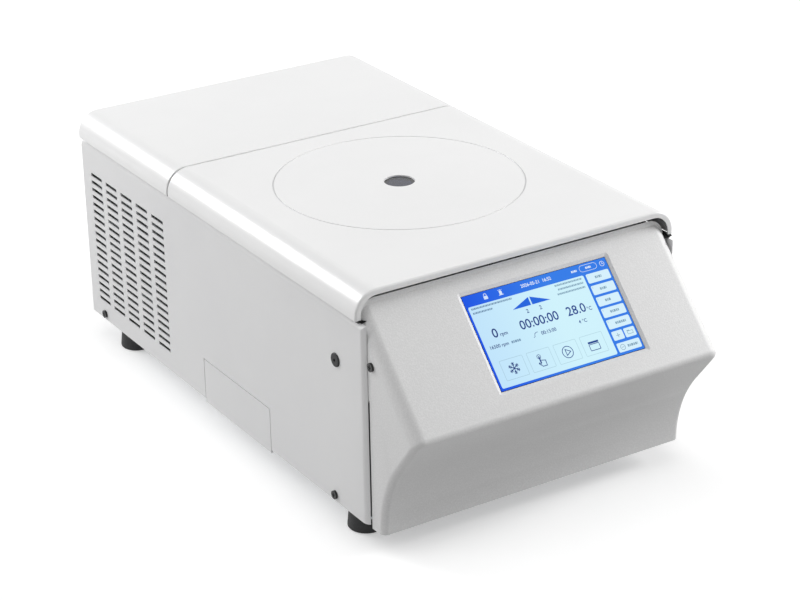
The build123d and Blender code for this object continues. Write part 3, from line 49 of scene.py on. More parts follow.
# Camera
lens_mm = 107.48
camera_at = Vector((-1.09596, -1.78730, 1.06287))
camera_azimuth = math.radians(-31.94)
camera_elevation = math.radians(24.46)
camera_roll = math.radians(-1.02)

# Light and floor
world_light = 0.291
floor_reach = 40
floor_rough = 0.9
floor_unseen = (0.42, 0.42, 0.42, 1)
floor_seen = (0.80, 0.80, 0.80, 1)
floor_lift = 0.36
# Name, place, aim, size and power
lamps = [
    ("top_soft_box", (-0.5, -0.3, 2.8), (0, 0, 0.2), 2.4, 17.3),
    ("left_soft_box", (-2.4, 0.5, 1.1), (0, 0, 0.12), 1.8, 14.7),
    ("front_soft_box", (0.6, -2.8, 1.5), (0, -0.2, 0.15), 1.8, 5.7),
    ("rear_left_box", (-1.25, 2.3, 1.45), (-0.15, 0.0, 0.2), 1.1, 40.0),
    ("right_box", (2.2, -0.9, 1.1), (0.1, -0.2, 0.15), 1.0, 44.0),
]

# Finishes
coat_rough = 0.15
colour_span = (0.25, 0.75)
grain_span = (0.2, 0.8)

# Display
slope = math.radians(46.5)
screen_w = 153.6 * MM
screen_h = 90.0 * MM
glass_half_t = 1 * MM
layer = 0.05 * MM
screen_power = 0.96
screen_gloss = 0.12
drift_left = -65 * MM
drift_right = 20 * MM

# Lettering
capital_share = 0.69
mark_lift = 0.05 * MM
ray_start = 10 * MM

# Rotor and rocker
chamber_y = -32 * MM
rotor_places = 24
number_ring_r = 71.5 * MM
number_h = 4.4 * MM
rocker_mark_h = 4.2 * MM
rocker_mark_out = 5 * MM

# Lid
groove_r = 117.5 * MM
# The half width of the band of painted shade on the lid's groove
groove_shade_half_w = 0.63 * MM

# Fascia
nose_y = -311 * MM
nose_z = 133.6 * MM
fascia_half = 162 * MM
fascia_wall = 3 * MM
fascia_back_y = -213.4 * MM
fascia_foot_z = 22 * MM
slope_side_round = 12 * MM
flank_start = 60 * MM
flank_end = 220 * MM
flank_deep = 150 * MM
flank_step_z = 186 * MM
flank_lap = 0.6 * MM
flank_shy = 0.05 * MM
brow_round = 17 * MM
brow_y = -221.4 * MM
brow_top_z = 233 * MM
lip_fall = 0.9

# Side panels
chassis_front_y = -229 * MM
panel_front_y = -237 * MM
panel_half = 166 * MM
panel_flange = 14 * MM
panel_top_z = 216.8 * MM
panel_fold = 8 * MM
sheet = 1.2 * MM
fold_gap = 0.4 * MM
cut_past = 1 * MM

# Dark strips of painted shadow under the lid's and the rear cover's skirts
shade_strip_top_z = 218.4 * MM
shade_strip_out = 0.6 * MM
shade_strip_show = 0.9 * MM
shade_strip_bevel = 1 * MM
shade_strip_rear_gap = 4 * MM


def srgb(text):
    """A linear colour from a hex string."""
    parts = [int(text[i:i + 2], 16) / 255 for i in (0, 2, 4)]
    linear = [p / 12.92 if p <= 0.04045 else ((p + 0.055) / 1.055) ** 2.4 for p in parts]
    return (*linear, 1.0)


def link(name, data):
    """A new object of the data, in the scene."""
    piece = bpy.data.objects.new(name, data)
    bpy.context.scene.collection.objects.link(piece)
    return piece


def add_mesh(name, verts, faces, material):
    mesh = bpy.data.meshes.new(name)
    mesh.from_pydata(verts, [], faces)
    mesh.materials.append(material)
    return link(name, mesh)


# Shader nodes

def new_material(name):
    material = bpy.data.materials.new(name)
    material.use_nodes = True
    tree = material.node_tree
    return material, tree, tree.nodes["Principled BSDF"]


def add_map(tree, value, to_span, from_span=(0.0, 1.0)):
    """A value spread from one span over another."""
    spread = tree.nodes.new("ShaderNodeMapRange")
    spread.inputs["From Min"].default_value = from_span[0]
    spread.inputs["From Max"].default_value = from_span[1]
    spread.inputs["To Min"].default_value = to_span[0]
    spread.inputs["To Max"].default_value = to_span[1]
    tree.links.new(value, spread.inputs["Value"])
    return spread.outputs["Result"]


def add_mix(tree, factor, first, second):
    """A colour or a colour output mixed with a second colour."""
    mix = tree.nodes.new("ShaderNodeMix")
    mix.data_type = "RGBA"
    if isinstance(first, tuple):
        mix.inputs["A"].default_value = first
    else:
        tree.links.new(first, mix.inputs["A"])
    mix.inputs["B"].default_value = second
    tree.links.new(factor, mix.inputs["Factor"])
    return mix.outputs["Result"]


def add_noise(tree, at, detail):
    noise = tree.nodes.new("ShaderNodeTexNoise")
    noise.inputs["Detail"].default_value = detail
    tree.links.new(at, noise.inputs["Vector"])
    return noise


def add_vector_maths(tree, operation, at, value=None):
    maths = tree.nodes.new("ShaderNodeVectorMath")
    maths.operation = operation
    tree.links.new(at, maths.inputs[0])
    if value is not None:
        maths.inputs[1].default_value = value
    return maths


def chamber_radius(tree, at):
    """The distance from the chamber's axis."""
    centred = add_vector_maths(tree, "SUBTRACT", at, (0, chamber_y, 0))
    flat = add_vector_maths(tree, "MULTIPLY", centred.outputs["Vector"], (1, 1, 0))
    return add_vector_maths(tree, "LENGTH", flat.outputs["Vector"]).outputs["Value"]


def seen_ray(tree):
    """1 for the rays that show the background: camera, glossy and transmission rays."""
    path = tree.nodes.new("ShaderNodeLightPath")
    seen = path.outputs["Is Camera Ray"]
    for kind in ("Is Glossy Ray", "Is Transmission Ray"):
        either = tree.nodes.new("ShaderNodeMath")
        either.operation = "MAXIMUM"
        tree.links.new(seen, either.inputs[0])
        tree.links.new(path.outputs[kind], either.inputs[1])
        seen = either.outputs[0]
    return seen


# Camera, floor and lamps

def make_camera():
    back = Vector((
        math.sin(camera_azimuth) * math.cos(camera_elevation),
        -math.cos(camera_azimuth) * math.cos(camera_elevation),
        math.sin(camera_elevation),
    ))
    flat_right = Vector((0, 0, 1)).cross(back).normalized()
    flat_up = back.cross(flat_right)
    right = math.cos(camera_roll) * flat_right + math.sin(camera_roll) * flat_up
    up = -math.sin(camera_roll) * flat_right + math.cos(camera_roll) * flat_up
    data = bpy.data.cameras.new("camera")
    data.lens = lens_mm
    data.sensor_width = 36
    data.sensor_fit = "HORIZONTAL"
    data.clip_start = 0.05
    data.clip_end = 100
    camera = link("camera", data)
    turn = Matrix((right, up, back)).transposed().to_4x4()
    camera.matrix_world = Matrix.Translation(camera_at) @ turn
    bpy.context.scene.camera = camera


def make_world():
    world = bpy.data.worlds.new("studio")
    bpy.context.scene.world = world
    world.use_nodes = True
    tree = world.node_tree
    background = tree.nodes["Background"]
    background.inputs["Color"].default_value = (1, 1, 1, 1)
    strength = add_map(tree, seen_ray(tree), (world_light, 1.0))
    tree.links.new(strength, background.inputs["Strength"])


def make_floor():
    """White paper that is plain where it is seen and still takes the machine's shadow."""
    material, tree, shader = new_material("floor_paper")
    shader.inputs["Roughness"].default_value = floor_rough
    shader.inputs["Specular IOR Level"].default_value = 0.0
    seen = seen_ray(tree)
    tree.links.new(add_mix(tree, seen, floor_unseen, floor_seen), shader.inputs["Base Color"])
    shader.inputs["Emission Color"].default_value = (1, 1, 1, 1)
    tree.links.new(add_map(tree, seen, (0.0, floor_lift)), shader.inputs["Emission Strength"])
    corners = [(x * floor_reach, y * floor_reach, 0) for x, y in ((-1, -1), (1, -1), (1, 1), (-1, 1))]
    floor = add_mesh("floor", corners, [(0, 1, 2, 3)], material)


def make_lamp(name, at, aim, size, power):
    data = bpy.data.lights.new(name, "AREA")
    data.shape = "SQUARE"
    data.size = size
    data.energy = power
    lamp = link(name, data)
    lamp.location = at
    lamp.rotation_euler = (Vector(aim) - Vector(at)).to_track_quat("-Z", "Y").to_euler()


# Shader groups: each gives a mottle, a grain and the normal of the grain's bump

def start_group(name, mottle_detail=4, mottle_rough=0.5):
    """A group with its sockets and its mottle, and its two ends and Object coordinates."""
    tree = bpy.data.node_groups.new(name, "ShaderNodeTree")
    for label in ("Mottle scale", "Grain scale", "Grain depth"):
        tree.interface.new_socket(label, in_out="INPUT", socket_type="NodeSocketFloat")
    tree.interface.new_socket("Stretch", in_out="INPUT", socket_type="NodeSocketVector")
    for label, kind in (("Mottle", "Float"), ("Grain", "Float"), ("Normal", "Vector")):
        tree.interface.new_socket(label, in_out="OUTPUT", socket_type="NodeSocket" + kind)
    start = tree.nodes.new("NodeGroupInput")
    end = tree.nodes.new("NodeGroupOutput")
    at = tree.nodes.new("ShaderNodeTexCoord").outputs["Object"]
    mottle = add_noise(tree, at, mottle_detail)
    mottle.inputs["Roughness"].default_value = mottle_rough
    tree.links.new(start.outputs["Mottle scale"], mottle.inputs["Scale"])
    tree.links.new(mottle.outputs["Fac"], end.inputs["Mottle"])
    return tree, start, end, at


def finish_group(tree, start, end, grain, output, inward=False):
    """The grain's scale and bump, and the outputs that come from it."""
    bump = tree.nodes.new("ShaderNodeBump")
    bump.invert = inward
    tree.links.new(start.outputs["Grain scale"], grain.inputs["Scale"])
    tree.links.new(start.outputs["Grain depth"], bump.inputs["Distance"])
    tree.links.new(grain.outputs[output], bump.inputs["Height"])
    tree.links.new(grain.outputs[output], end.inputs["Grain"])
    tree.links.new(bump.outputs["Normal"], end.inputs["Normal"])
    return tree


def grain_group():
    """Soft mottling and fine grain."""
    tree, start, end, at = start_group("surface_grain", mottle_detail=5, mottle_rough=0.6)
    return finish_group(tree, start, end, add_noise(tree, at, 3), "Fac")


def pebble_group():
    """The pebbled skin of a moulded housing."""
    tree, start, end, at = start_group("pebble_grain")
    cells = tree.nodes.new("ShaderNodeTexVoronoi")
    cells.feature = "SMOOTH_F1"
    cells.inputs["Smoothness"].default_value = 0.7
    tree.links.new(at, cells.inputs["Vector"])
    return finish_group(tree, start, end, cells, "Distance", inward=True)


def brushed_group():
    """Fine lines along one axis: the stretch squeezes the noise across it."""
    tree, start, end, at = start_group("brushed_lines")
    squeeze = add_vector_maths(tree, "MULTIPLY", at)
    tree.links.new(start.outputs["Stretch"], squeeze.inputs[1])
    return finish_group(tree, start, end, add_noise(tree, squeeze.outputs["Vector"], 4), "Fac")


def turned_group():
    """Lathe rings round the chamber's axis."""
    tree, start, end, at = start_group("turned_rings")
    split = tree.nodes.new("ShaderNodeSeparateXYZ")
    place = tree.nodes.new("ShaderNodeCombineXYZ")
    tree.links.new(at, split.inputs["Vector"])
    tree.links.new(chamber_radius(tree, at), place.inputs["X"])
    tree.links.new(split.outputs["Z"], place.inputs["Y"])
    return finish_group(tree, start, end, add_noise(tree, place.outputs["Vector"], 3), "Fac")


groups = {
    "grain": grain_group(),
    "pebble": pebble_group(),
    "brushed": brushed_group(),
    "turned": turned_group(),
}


# Materials

def finish_material(name, pattern, dark, light, rough, mottle, grain, depth_mm,
                    metal=0.0, coat=0.0, stretch=None, by_grain=False):
    """Two near colours mixed by the pattern, with roughness and bump from its grain."""
    material, tree, shader = new_material(name)
    shader.inputs["Metallic"].default_value = metal
    shader.inputs["Coat Weight"].default_value = coat
    shader.inputs["Coat Roughness"].default_value = coat_rough
    group = tree.nodes.new("ShaderNodeGroup")
    group.node_tree = groups[pattern]
    group.inputs["Mottle scale"].default_value = mottle
    group.inputs["Grain scale"].default_value = grain
    group.inputs["Grain depth"].default_value = depth_mm * MM
    if stretch:
        group.inputs["Stretch"].default_value = stretch
    spread = add_map(tree, group.outputs["Grain" if by_grain else "Mottle"], (0.0, 1.0), colour_span)
    tree.links.new(add_mix(tree, spread, srgb(dark), srgb(light)), shader.inputs["Base Color"])
    roughness = add_map(tree, group.outputs["Grain"], rough, grain_span)
    tree.links.new(roughness, shader.inputs["Roughness"])
    tree.links.new(group.outputs["Normal"], shader.inputs["Normal"])
    return material


def glass_material(name, tint, ior):
    """Clear glass with a faint wipe haze in its roughness."""
    material = finish_material(name, "grain", tint, tint, (0.02, 0.06), 12, 60, 0.001)
    shader = material.node_tree.nodes["Principled BSDF"]
    shader.inputs["Transmission Weight"].default_value = 1.0
    shader.inputs["IOR"].default_value = ior
    return material


def cover_material():
    """White powder paint with a clear gloss, with painted shade that darkens a band on the lid's round groove.
    """
    material = finish_material("cover_white", "grain", "EAEAEA", "EFEFEF", (0.30, 0.40), 5, 420, 0.02,
                               coat=0.3)
    tree = material.node_tree
    shader = tree.nodes["Principled BSDF"]
    paint = shader.inputs["Base Color"].links[0].from_socket
    at = tree.nodes.new("ShaderNodeTexCoord").outputs["Object"]
    # Painted shade: within the band on the groove's radius the base colour is darkened to D6D6D7.
    inside = tree.nodes.new("ShaderNodeMath")
    inside.operation = "COMPARE"
    inside.inputs[1].default_value = groove_r
    inside.inputs[2].default_value = groove_shade_half_w
    tree.links.new(chamber_radius(tree, at), inside.inputs[0])
    groove_shaded = add_mix(tree, inside.outputs["Value"], paint, srgb("D6D6D7"))
    tree.links.new(groove_shaded, shader.inputs["Base Color"])
    return material


def lit_material(name, left, right):
    """A lit part of the display, whose colour drifts from one side of the screen to the other."""
    material, tree, shader = new_material(name)
    shader.inputs["Base Color"].default_value = (0.004, 0.005, 0.008, 1)
    shader.inputs["Specular IOR Level"].default_value = screen_gloss
    shader.inputs["Emission Strength"].default_value = screen_power
    at = tree.nodes.new("ShaderNodeTexCoord").outputs["Object"]
    split = tree.nodes.new("ShaderNodeSeparateXYZ")
    tree.links.new(at, split.inputs["Vector"])
    drift = add_map(tree, split.outputs["X"], (0.0, 1.0), (drift_left, drift_right))
    tree.links.new(add_mix(tree, drift, srgb(left), srgb(right)), shader.inputs["Emission Color"])
    haze = add_noise(tree, at, 2)
    haze.inputs["Scale"].default_value = 40
    tree.links.new(add_map(tree, haze.outputs["Fac"], (0.12, 0.22)), shader.inputs["Roughness"])
    return material


# Name, pattern, dark and light colour, roughness, mottle scale, grain scale, grain depth in mm, the rest
finishes = [
    ("panel_grey", "grain", "E2E2E3", "E8E8E8", (0.40, 0.50), 5, 600, 0.03, {}),
    ("fascia_plastic", "pebble", "DDDDDD", "E5E5E5", (0.42, 0.58), 8, 800, 0.08, {"by_grain": True}),
    ("lining_plastic", "grain", "DADBDC", "E4E5E6", (0.35, 0.50), 9, 700, 0.03, {}),
    ("touch_glass", "grain", "05070C", "0A0D14", (0.05, 0.10), 20, 60, 0.001, {}),
    ("black_rubber", "grain", "121213", "212224", (0.55, 0.75), 25, 900, 0.08, {}),
    ("grey_rubber", "grain", "6F7173", "85878A", (0.60, 0.80), 20, 900, 0.08, {}),
    ("black_plastic", "pebble", "141415", "232426", (0.35, 0.55), 20, 1400, 0.06, {}),
    ("foam", "pebble", "1B1C1E", "303236", (0.80, 0.95), 30, 700, 0.3, {}),
    ("stainless", "turned", "B9BBBE", "D6D8DA", (0.18, 0.36), 14, 1500, 0.01, {"metal": 1.0}),
    ("guard_steel", "turned", "6E7276", "92969A", (0.35, 0.55), 18, 700, 0.02, {"metal": 1.0}),
    ("rotor_aluminium", "turned", "50545A", "6A6F76", (0.26, 0.42), 20, 1800, 0.01, {"metal": 0.9}),
    ("nut_aluminium", "turned", "9FA3A8", "C3C7CB", (0.22, 0.38), 25, 2200, 0.01, {"metal": 1.0}),
    ("zinc_steel", "brushed", "A4A8AC", "C9CCCF", (0.28, 0.50), 25, 90, 0.01,
     {"metal": 1.0, "stretch": (1, 14, 14)}),
    ("fin_aluminium", "brushed", "B8BCC0", "DADDDF", (0.30, 0.48), 25, 120, 0.01,
     {"metal": 1.0, "stretch": (1, 1, 20)}),
    ("copper", "grain", "A65E3A", "D08B62", (0.20, 0.42), 40, 300, 0.01, {"metal": 1.0}),
    ("motor_paint", "grain", "17191C", "2A2D31", (0.35, 0.55), 15, 500, 0.04, {}),
    ("board_green", "grain", "0E4A2B", "1C6B40", (0.25, 0.45), 60, 260, 0.03, {"coat": 0.4}),
    ("screw_black", "grain", "0A0A0B", "141416", (0.35, 0.50), 25, 300, 0.01, {}),
    ("marking", "grain", "C9CBCD", "DADCDE", (0.45, 0.60), 20, 900, 0.01, {}),
]
slot_materials = {name: finish_material(name, *look, **rest) for name, *look, rest in finishes}
slot_materials["cover_white"] = cover_material()
slot_materials["sight_glass"] = glass_material("sight_glass", "656E8C", 1.5)


def node_slot(node):
    """The slot of a CAD node, from the material that it has in model.glb."""
    name = node.data.materials[0].name
    return name if name in slot_materials else name.rsplit(".", 1)[0]


def dress_nodes():
    node_slots = {name: node_slot(node) for name, node in nodes.items()}
    for name, node in nodes.items():
        node.data.materials.clear()
        node.data.materials.append(slot_materials[node_slots[name]])
    for name in ("panel_screws", "fascia_screws", "rear_screws"):
        nodes[name].data.materials[0] = slot_materials["screw_black"]


def lettering(words, size, resolution, bold=0.0, centred=False):
    """The corners and faces of flat words whose capital height is size."""
    curve = bpy.data.curves.new("lettering", "FONT")
    curve.body = words
    curve.size = size / capital_share
    curve.align_x = "CENTER"
    if centred:
        curve.align_y = "CENTER"
    curve.resolution_u = resolution
    curve.offset = bold
    holder = link("lettering", curve)
    bpy.context.view_layer.update()
    mesh = bpy.data.meshes.new_from_object(holder)
    corners = [v.co.copy() for v in mesh.vertices]
    faces = [tuple(p.vertices) for p in mesh.polygons]
    bpy.data.objects.remove(holder)
    bpy.data.curves.remove(curve)
    bpy.data.meshes.remove(mesh)
    return corners, faces


# Display image, drawn in the screen's own millimetres from its lower left corner

glass_low, glass_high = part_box("touch_glass")
slope_out = Vector((0, -math.sin(slope), math.cos(slope)))
slope_up = Vector((0, math.cos(slope), math.sin(slope)))
glass_centre = (glass_low + glass_high) / 2 + slope_out * glass_half_t
screen_corner = glass_centre - Vector((screen_w / 2, 0, 0)) - slope_up * screen_h / 2

tile_left = 127.0
tile_right = 151.6
tile_h = 8.9
tile_tops = (79.0, 67.6, 56.3, 45.1, 33.9)
tile_words = (7.0, 7.0, 6.0, 9.4, 11.4)
icon_lefts = (9.4, 37.5, 65.7, 93.9)
main_y = 47.2
main_h = 8.2
unit_h = 3.4
small_y = 38.0


def round_loop(x, y, r, count=40):
    turns = [2 * math.pi * i / count for i in range(count)]
    return [(x + r * math.cos(turn), y + r * math.sin(turn)) for turn in turns]


def rounded_loop(x0, y0, x1, y1, r, steps=6):
    loop = []
    corners = ((x1 - r, y0 + r, -90), (x1 - r, y1 - r, 0), (x0 + r, y1 - r, 90), (x0 + r, y0 + r, 180))
    for centre_x, centre_y, start in corners:
        for i in range(steps + 1):
            angle = math.radians(start + 90 * i / steps)
            loop.append((centre_x + r * math.cos(angle), centre_y + r * math.sin(angle)))
    return loop


class Flat:
    """Flat shapes in the screen's own millimetres, gathered into one mesh at one height."""

    def __init__(self, name, material, height):
        self.name = name
        self.material = material
        self.height = height
        self.verts = []
        self.faces = []

    def at(self, x, y):
        return screen_corner + Vector((x * MM, 0, 0)) + slope_up * (y * MM) + slope_out * (self.height * layer)

    def polygon(self, points):
        first = len(self.verts)
        self.verts += [self.at(x, y) for x, y in points]
        self.faces.append(tuple(range(first, first + len(points))))

    def strip(self, outer, inner):
        """The band between two closed loops of as many points."""
        first = len(self.verts)
        count = len(outer)
        self.verts += [self.at(x, y) for x, y in outer] + [self.at(x, y) for x, y in inner]
        for i in range(count):
            j = (i + 1) % count
            self.faces.append((first + i, first + j, first + count + j, first + count + i))

    def rounded(self, x0, y0, x1, y1, r):
        self.polygon(rounded_loop(x0, y0, x1, y1, r))

    def outline(self, x0, y0, x1, y1, r, width):
        inner = rounded_loop(x0 + width, y0 + width, x1 - width, y1 - width, max(r - width, 0.05))
        self.strip(rounded_loop(x0, y0, x1, y1, r), inner)

    def circle(self, x, y, r, width):
        self.strip(round_loop(x, y, r), round_loop(x, y, r - width))

    def disc(self, x, y, r):
        self.polygon(round_loop(x, y, r))

    def line(self, points, width):
        """A stroke of one width through the points."""
        for (xa, ya), (xb, yb) in zip(points, points[1:]):
            along = Vector((xb - xa, yb - ya)).normalized() * width / 2
            across = Vector((-along.y, along.x))
            a = Vector((xa, ya)) - along
            b = Vector((xb, yb)) + along
            self.polygon([a - across, b - across, b + across, a + across])

    def text(self, words, x, y, size, bold=0.0):
        """Plain figures whose capital height is size, standing on y."""
        corners, faces = lettering(words, size, 4, bold)
        first = len(self.verts)
        self.verts += [self.at(x + corner.x, y + corner.y) for corner in corners]
        self.faces += [tuple(first + i for i in face) for face in faces]

    def word(self, x0, x1, y, size):
        """A word too small to read: short strokes of uneven width."""
        x = x0
        step = 0
        while x < x1:
            width = min(size * (0.75, 0.45, 0.9, 0.6)[step % 4], x1 - x)
            self.polygon([(x, y), (x + width, y), (x + width, y + size), (x, y + size)])
            x += width + size * 0.22
            step += 1

    def build(self):
        piece = add_mesh(self.name, self.verts, self.faces, self.material)
        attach(piece, "body")


def draw_tiles(tiles):
    """The column of keys on the right, with two half keys above the last one."""
    for top in tile_tops:
        tiles.rounded(tile_left, top - tile_h, tile_right, top, 1.2)
    tiles.rounded(tile_left, 14.0, 138.6, 22.6, 1.2)
    tiles.rounded(140.0, 14.0, tile_right, 22.6, 1.2)
    tiles.rounded(tile_left, 2.5, tile_right, 11.2, 1.2)


def draw_bar(marks):
    """The top bar's lock, lamp, date, word in a ring and clock."""
    marks.rounded(21.0, 82.2, 25.2, 85.2, 0.4)
    marks.line([(21.8, 85.2), (21.8, 86.6), (22.4, 87.3), (23.8, 87.3), (24.4, 86.6), (24.4, 85.2)], 0.55)
    marks.rounded(37.4, 82.4, 40.2, 86.2, 0.9)
    marks.line([(36.6, 82.5), (41.0, 82.5)], 0.6)
    marks.disc(38.8, 87.0, 0.55)
    marks.line([(36.8, 87.2), (37.8, 86.3)], 0.35)
    marks.line([(40.8, 87.2), (39.8, 86.3)], 0.35)
    marks.text("2026-05-21  16:52", 76.3, 83.4, 3.0, bold=0.08)
    marks.word(114.4, 120.4, 83.8, 1.9)
    marks.outline(123.4, 81.9, 142.2, 88.2, 3.1, 0.35)
    marks.word(130.0, 135.8, 84.1, 1.9)
    marks.circle(148.0, 84.9, 2.5, 0.45)
    marks.line([(148.0, 84.7), (148.0, 86.2)], 0.45)
    marks.line([(148.0, 84.7), (149.1, 84.7)], 0.45)


def draw_readings(figures):
    """Speed, time and temperature, and the smaller set values under them."""
    figures.text("0", 17.2, main_y, main_h, bold=0.12)
    figures.text("00:00:00", 63.7, main_y, main_h, bold=0.12)
    figures.text("28.0", 103.2, main_y, main_h, bold=0.12)
    figures.text("2", 56.7, 60.2, 3.6, bold=0.06)
    figures.text("2", 70.5, 60.2, 3.6, bold=0.06)
    figures.text("rpm", 25.4, main_y, unit_h, bold=0.06)
    figures.text("°C", 116.6, main_y, unit_h, bold=0.06)
    figures.text("16500 rpm", 16.2, small_y, 3.1, bold=0.05)
    figures.line([(52.0, 37.6), (53.2, 38.2), (54.0, 40.6), (55.6, 41.6), (57.4, 41.6)], 0.45)
    figures.text("00:15:00", 68.3, small_y, 3.2, bold=0.05)
    figures.text("4 °C", 105.0, small_y, 3.2, bold=0.05)


def draw_icons(figures):
    """A snowflake, a pressing finger, a play sign in a ring and a run folder."""
    hub = Vector((21.2, 16.8))
    for turn in range(6):
        angle = math.radians(60 * turn + 30)
        out = Vector((math.cos(angle), math.sin(angle)))
        side = Vector((-out.y, out.x))
        figures.line([hub, hub + out * 5.2], 0.75)
        for step in (2.4, 3.8):
            figures.line([hub + out * step, hub + out * (step + 1.1) + side * 1.1], 0.6)
            figures.line([hub + out * step, hub + out * (step + 1.1) - side * 1.1], 0.6)
    figures.circle(48.4, 20.2, 2.1, 0.5)
    figures.line([(48.4, 20.0), (48.4, 14.6)], 1.3)
    figures.line([(48.2, 13.2), (46.6, 14.8), (46.0, 14.0), (49.0, 11.0), (53.2, 11.0), (53.4, 15.8),
                  (49.6, 16.6)], 0.7)
    figures.circle(77.6, 16.8, 5.7, 0.7)
    figures.line([(75.9, 13.9), (75.9, 19.7), (80.7, 16.8), (75.9, 13.9)], 0.7)
    figures.outline(100.2, 11.2, 111.2, 17.6, 0.8, 0.65)
    figures.polygon([(100.2, 18.0), (111.2, 18.0), (111.2, 19.8), (100.2, 19.8)])
    for x in (101.6, 104.4, 107.2):
        figures.polygon([(x, 18.0), (x + 1.2, 18.0), (x + 0.4, 19.8), (x - 0.8, 19.8)])


def draw_words(words):
    """The small words of the panel and of the keys, with the keys' own signs."""
    words.word(4.8, 46.8, 75.9, 1.7)
    words.word(4.8, 25.0, 71.9, 1.7)
    words.word(92.6, 121.8, 75.9, 1.7)
    words.word(94.4, 121.8, 71.9, 1.7)
    words.word(92.0, 121.8, 67.8, 1.7)
    words.word(29.0, 39.0, 38.2, 2.2)
    for row, (top, width) in enumerate(zip(tile_tops, tile_words)):
        words.text(str(row + 1), 128.6, top - 2.6, 1.5)
        words.word(135.4, 135.4 + width, top - 5.6, 2.3)
    words.line([(131.2, 18.3), (134.6, 18.3)], 0.6)
    words.line([(132.9, 16.6), (132.9, 20.0)], 0.6)
    words.outline(142.9, 16.4, 149.0, 19.6, 0.4, 0.45)
    words.line([(143.1, 19.9), (145.2, 19.9)], 0.6)
    words.circle(132.4, 6.8, 2.7, 0.5)
    words.line([(131.2, 6.8), (133.6, 6.8)], 0.5)
    words.word(137.6, 148.6, 5.6, 2.3)


def make_display():
    """The picture on the lit screen: bars, figures and plain icons."""
    blue = lit_material("screen_blue", "0A52E6", "2F7CEA")
    pale = lit_material("screen_pale", "C2E6FE", "D2F5FF")
    tile = lit_material("screen_tile", "CDE9FF", "D8F3FF")
    line = lit_material("screen_line", "A9C9DC", "B4D6E2")
    dark = lit_material("screen_dark", "122E74", "1E4290")
    grey = lit_material("screen_grey", "6F8FB0", "86A8BE")
    white = lit_material("screen_white", "CFE2FF", "E6F2FF")
    deep = lit_material("screen_deep", "0F5BDE", "1C66E0")

    back = Flat("display_back", blue, 1)
    back.rounded(0.2, 0.2, 153.4, 89.8, 0.5)
    back.build()

    panel = Flat("display_panel_area", pale, 2)
    panel.rounded(2.3, 2.3, 124.6, 79.2, 1.6)
    panel.build()

    tiles = Flat("display_tiles", tile, 2)
    draw_tiles(tiles)
    tiles.build()

    outlines = Flat("display_outlines", line, 3)
    for left in icon_lefts:
        outlines.outline(left, 7.6, left + 24.0, 26.4, 1.0, 0.45)
    outlines.build()

    ramp = Flat("display_ramp", deep, 3)
    ramp.polygon([(43.2, 66.4), (62.6, 66.4), (62.6, 74.0)])
    ramp.polygon([(64.0, 66.4), (83.4, 66.4), (64.0, 74.0)])
    ramp.build()

    marks = Flat("display_top_marks", white, 3)
    draw_bar(marks)
    marks.build()

    figures = Flat("display_figures", dark, 3)
    draw_readings(figures)
    draw_icons(figures)
    figures.build()

    words = Flat("display_words", grey, 4)
    draw_words(words)
    words.build()


# Mesh tools

def face_out(mesh):
    form = bmesh.new()
    form.from_mesh(mesh)
    bmesh.ops.recalc_face_normals(form, faces=form.faces)
    form.to_mesh(mesh)
    form.free()


def prism(name, loop, start, end, place, slot="fascia_plastic"):
    """A closed prism: the loop at one end and the other, each point put in place by a function."""
    count = len(loop)
    verts = [place(a, b, along) for along in (start, end) for a, b in loop]
    faces = [tuple(range(count)), tuple(range(2 * count - 1, count - 1, -1))]
    faces += [(i, i + count, (i + 1) % count + count, (i + 1) % count) for i in range(count)]
    piece = add_mesh(name, verts, faces, slot_materials[slot])
    face_out(piece.data)
    return piece


def side_block(name, side, x_in, x_out, y_low, y_high, z_low, z_high):
    loop = [(y_low, z_low), (y_high, z_low), (y_high, z_high), (y_low, z_high)]
    return prism(name, loop, side * x_in, side * x_out, lambda y, z, x: Vector((x, y, z)))


def merged_copy(name, node):
    """A copy of a CAD piece with its loose triangles joined."""
    source = nodes[node].data
    corners = [v.co.copy() for v in source.vertices]
    piece = add_mesh(name, corners, [tuple(p.vertices) for p in source.polygons], source.materials[0])
    form = bmesh.new()
    form.from_mesh(piece.data)
    bmesh.ops.remove_doubles(form, verts=form.verts, dist=MM / 500)
    form.to_mesh(piece.data)
    form.free()
    return piece


def envelope_of(piece, inset):
    """The convex hull of a piece, drawn in by the inset on every side."""
    corners = [v.co.copy() for v in piece.data.vertices]
    low = Vector([min(corner[i] for corner in corners) for i in range(3)])
    high = Vector([max(corner[i] for corner in corners) for i in range(3)])
    middle = (low + high) / 2
    half = (high - low) / 2
    form = bmesh.new()
    for corner in corners:
        form.verts.new(corner)
    hull = bmesh.ops.convex_hull(form, input=form.verts, use_existing_faces=False)
    spare = {v for v in hull["geom_interior"] if isinstance(v, bmesh.types.BMVert)}
    bmesh.ops.delete(form, geom=list(spare), context="VERTS")
    for vertex in form.verts:
        for i in range(3):
            vertex.co[i] = middle[i] + (vertex.co[i] - middle[i]) * (half[i] - inset) / half[i]
    mesh = bpy.data.meshes.new("envelope")
    form.to_mesh(mesh)
    form.free()
    mesh.materials.append(piece.data.materials[0])
    return link("envelope", mesh)


def combine(piece, tool, operation):
    """The piece cut by, joined to or kept inside the tool, which is then gone."""
    material = piece.data.materials[0]
    modifier = piece.modifiers.new("combine", "BOOLEAN")
    modifier.operation = operation
    modifier.solver = "EXACT"
    modifier.object = tool
    bpy.context.view_layer.update()
    result = bpy.data.meshes.new_from_object(piece.evaluated_get(bpy.context.evaluated_depsgraph_get()))
    piece.modifiers.clear()
    piece.data = result
    result.name = piece.name
    result.materials.clear()
    result.materials.append(material)
    for polygon in result.polygons:
        polygon.material_index = 0
    bpy.data.objects.remove(tool)


def smooth_by_angle(mesh, degrees=20):
    for polygon in mesh.polygons:
        polygon.use_smooth = True
    mesh.set_sharp_from_angle(angle=math.radians(degrees))


# Side panels and fascia

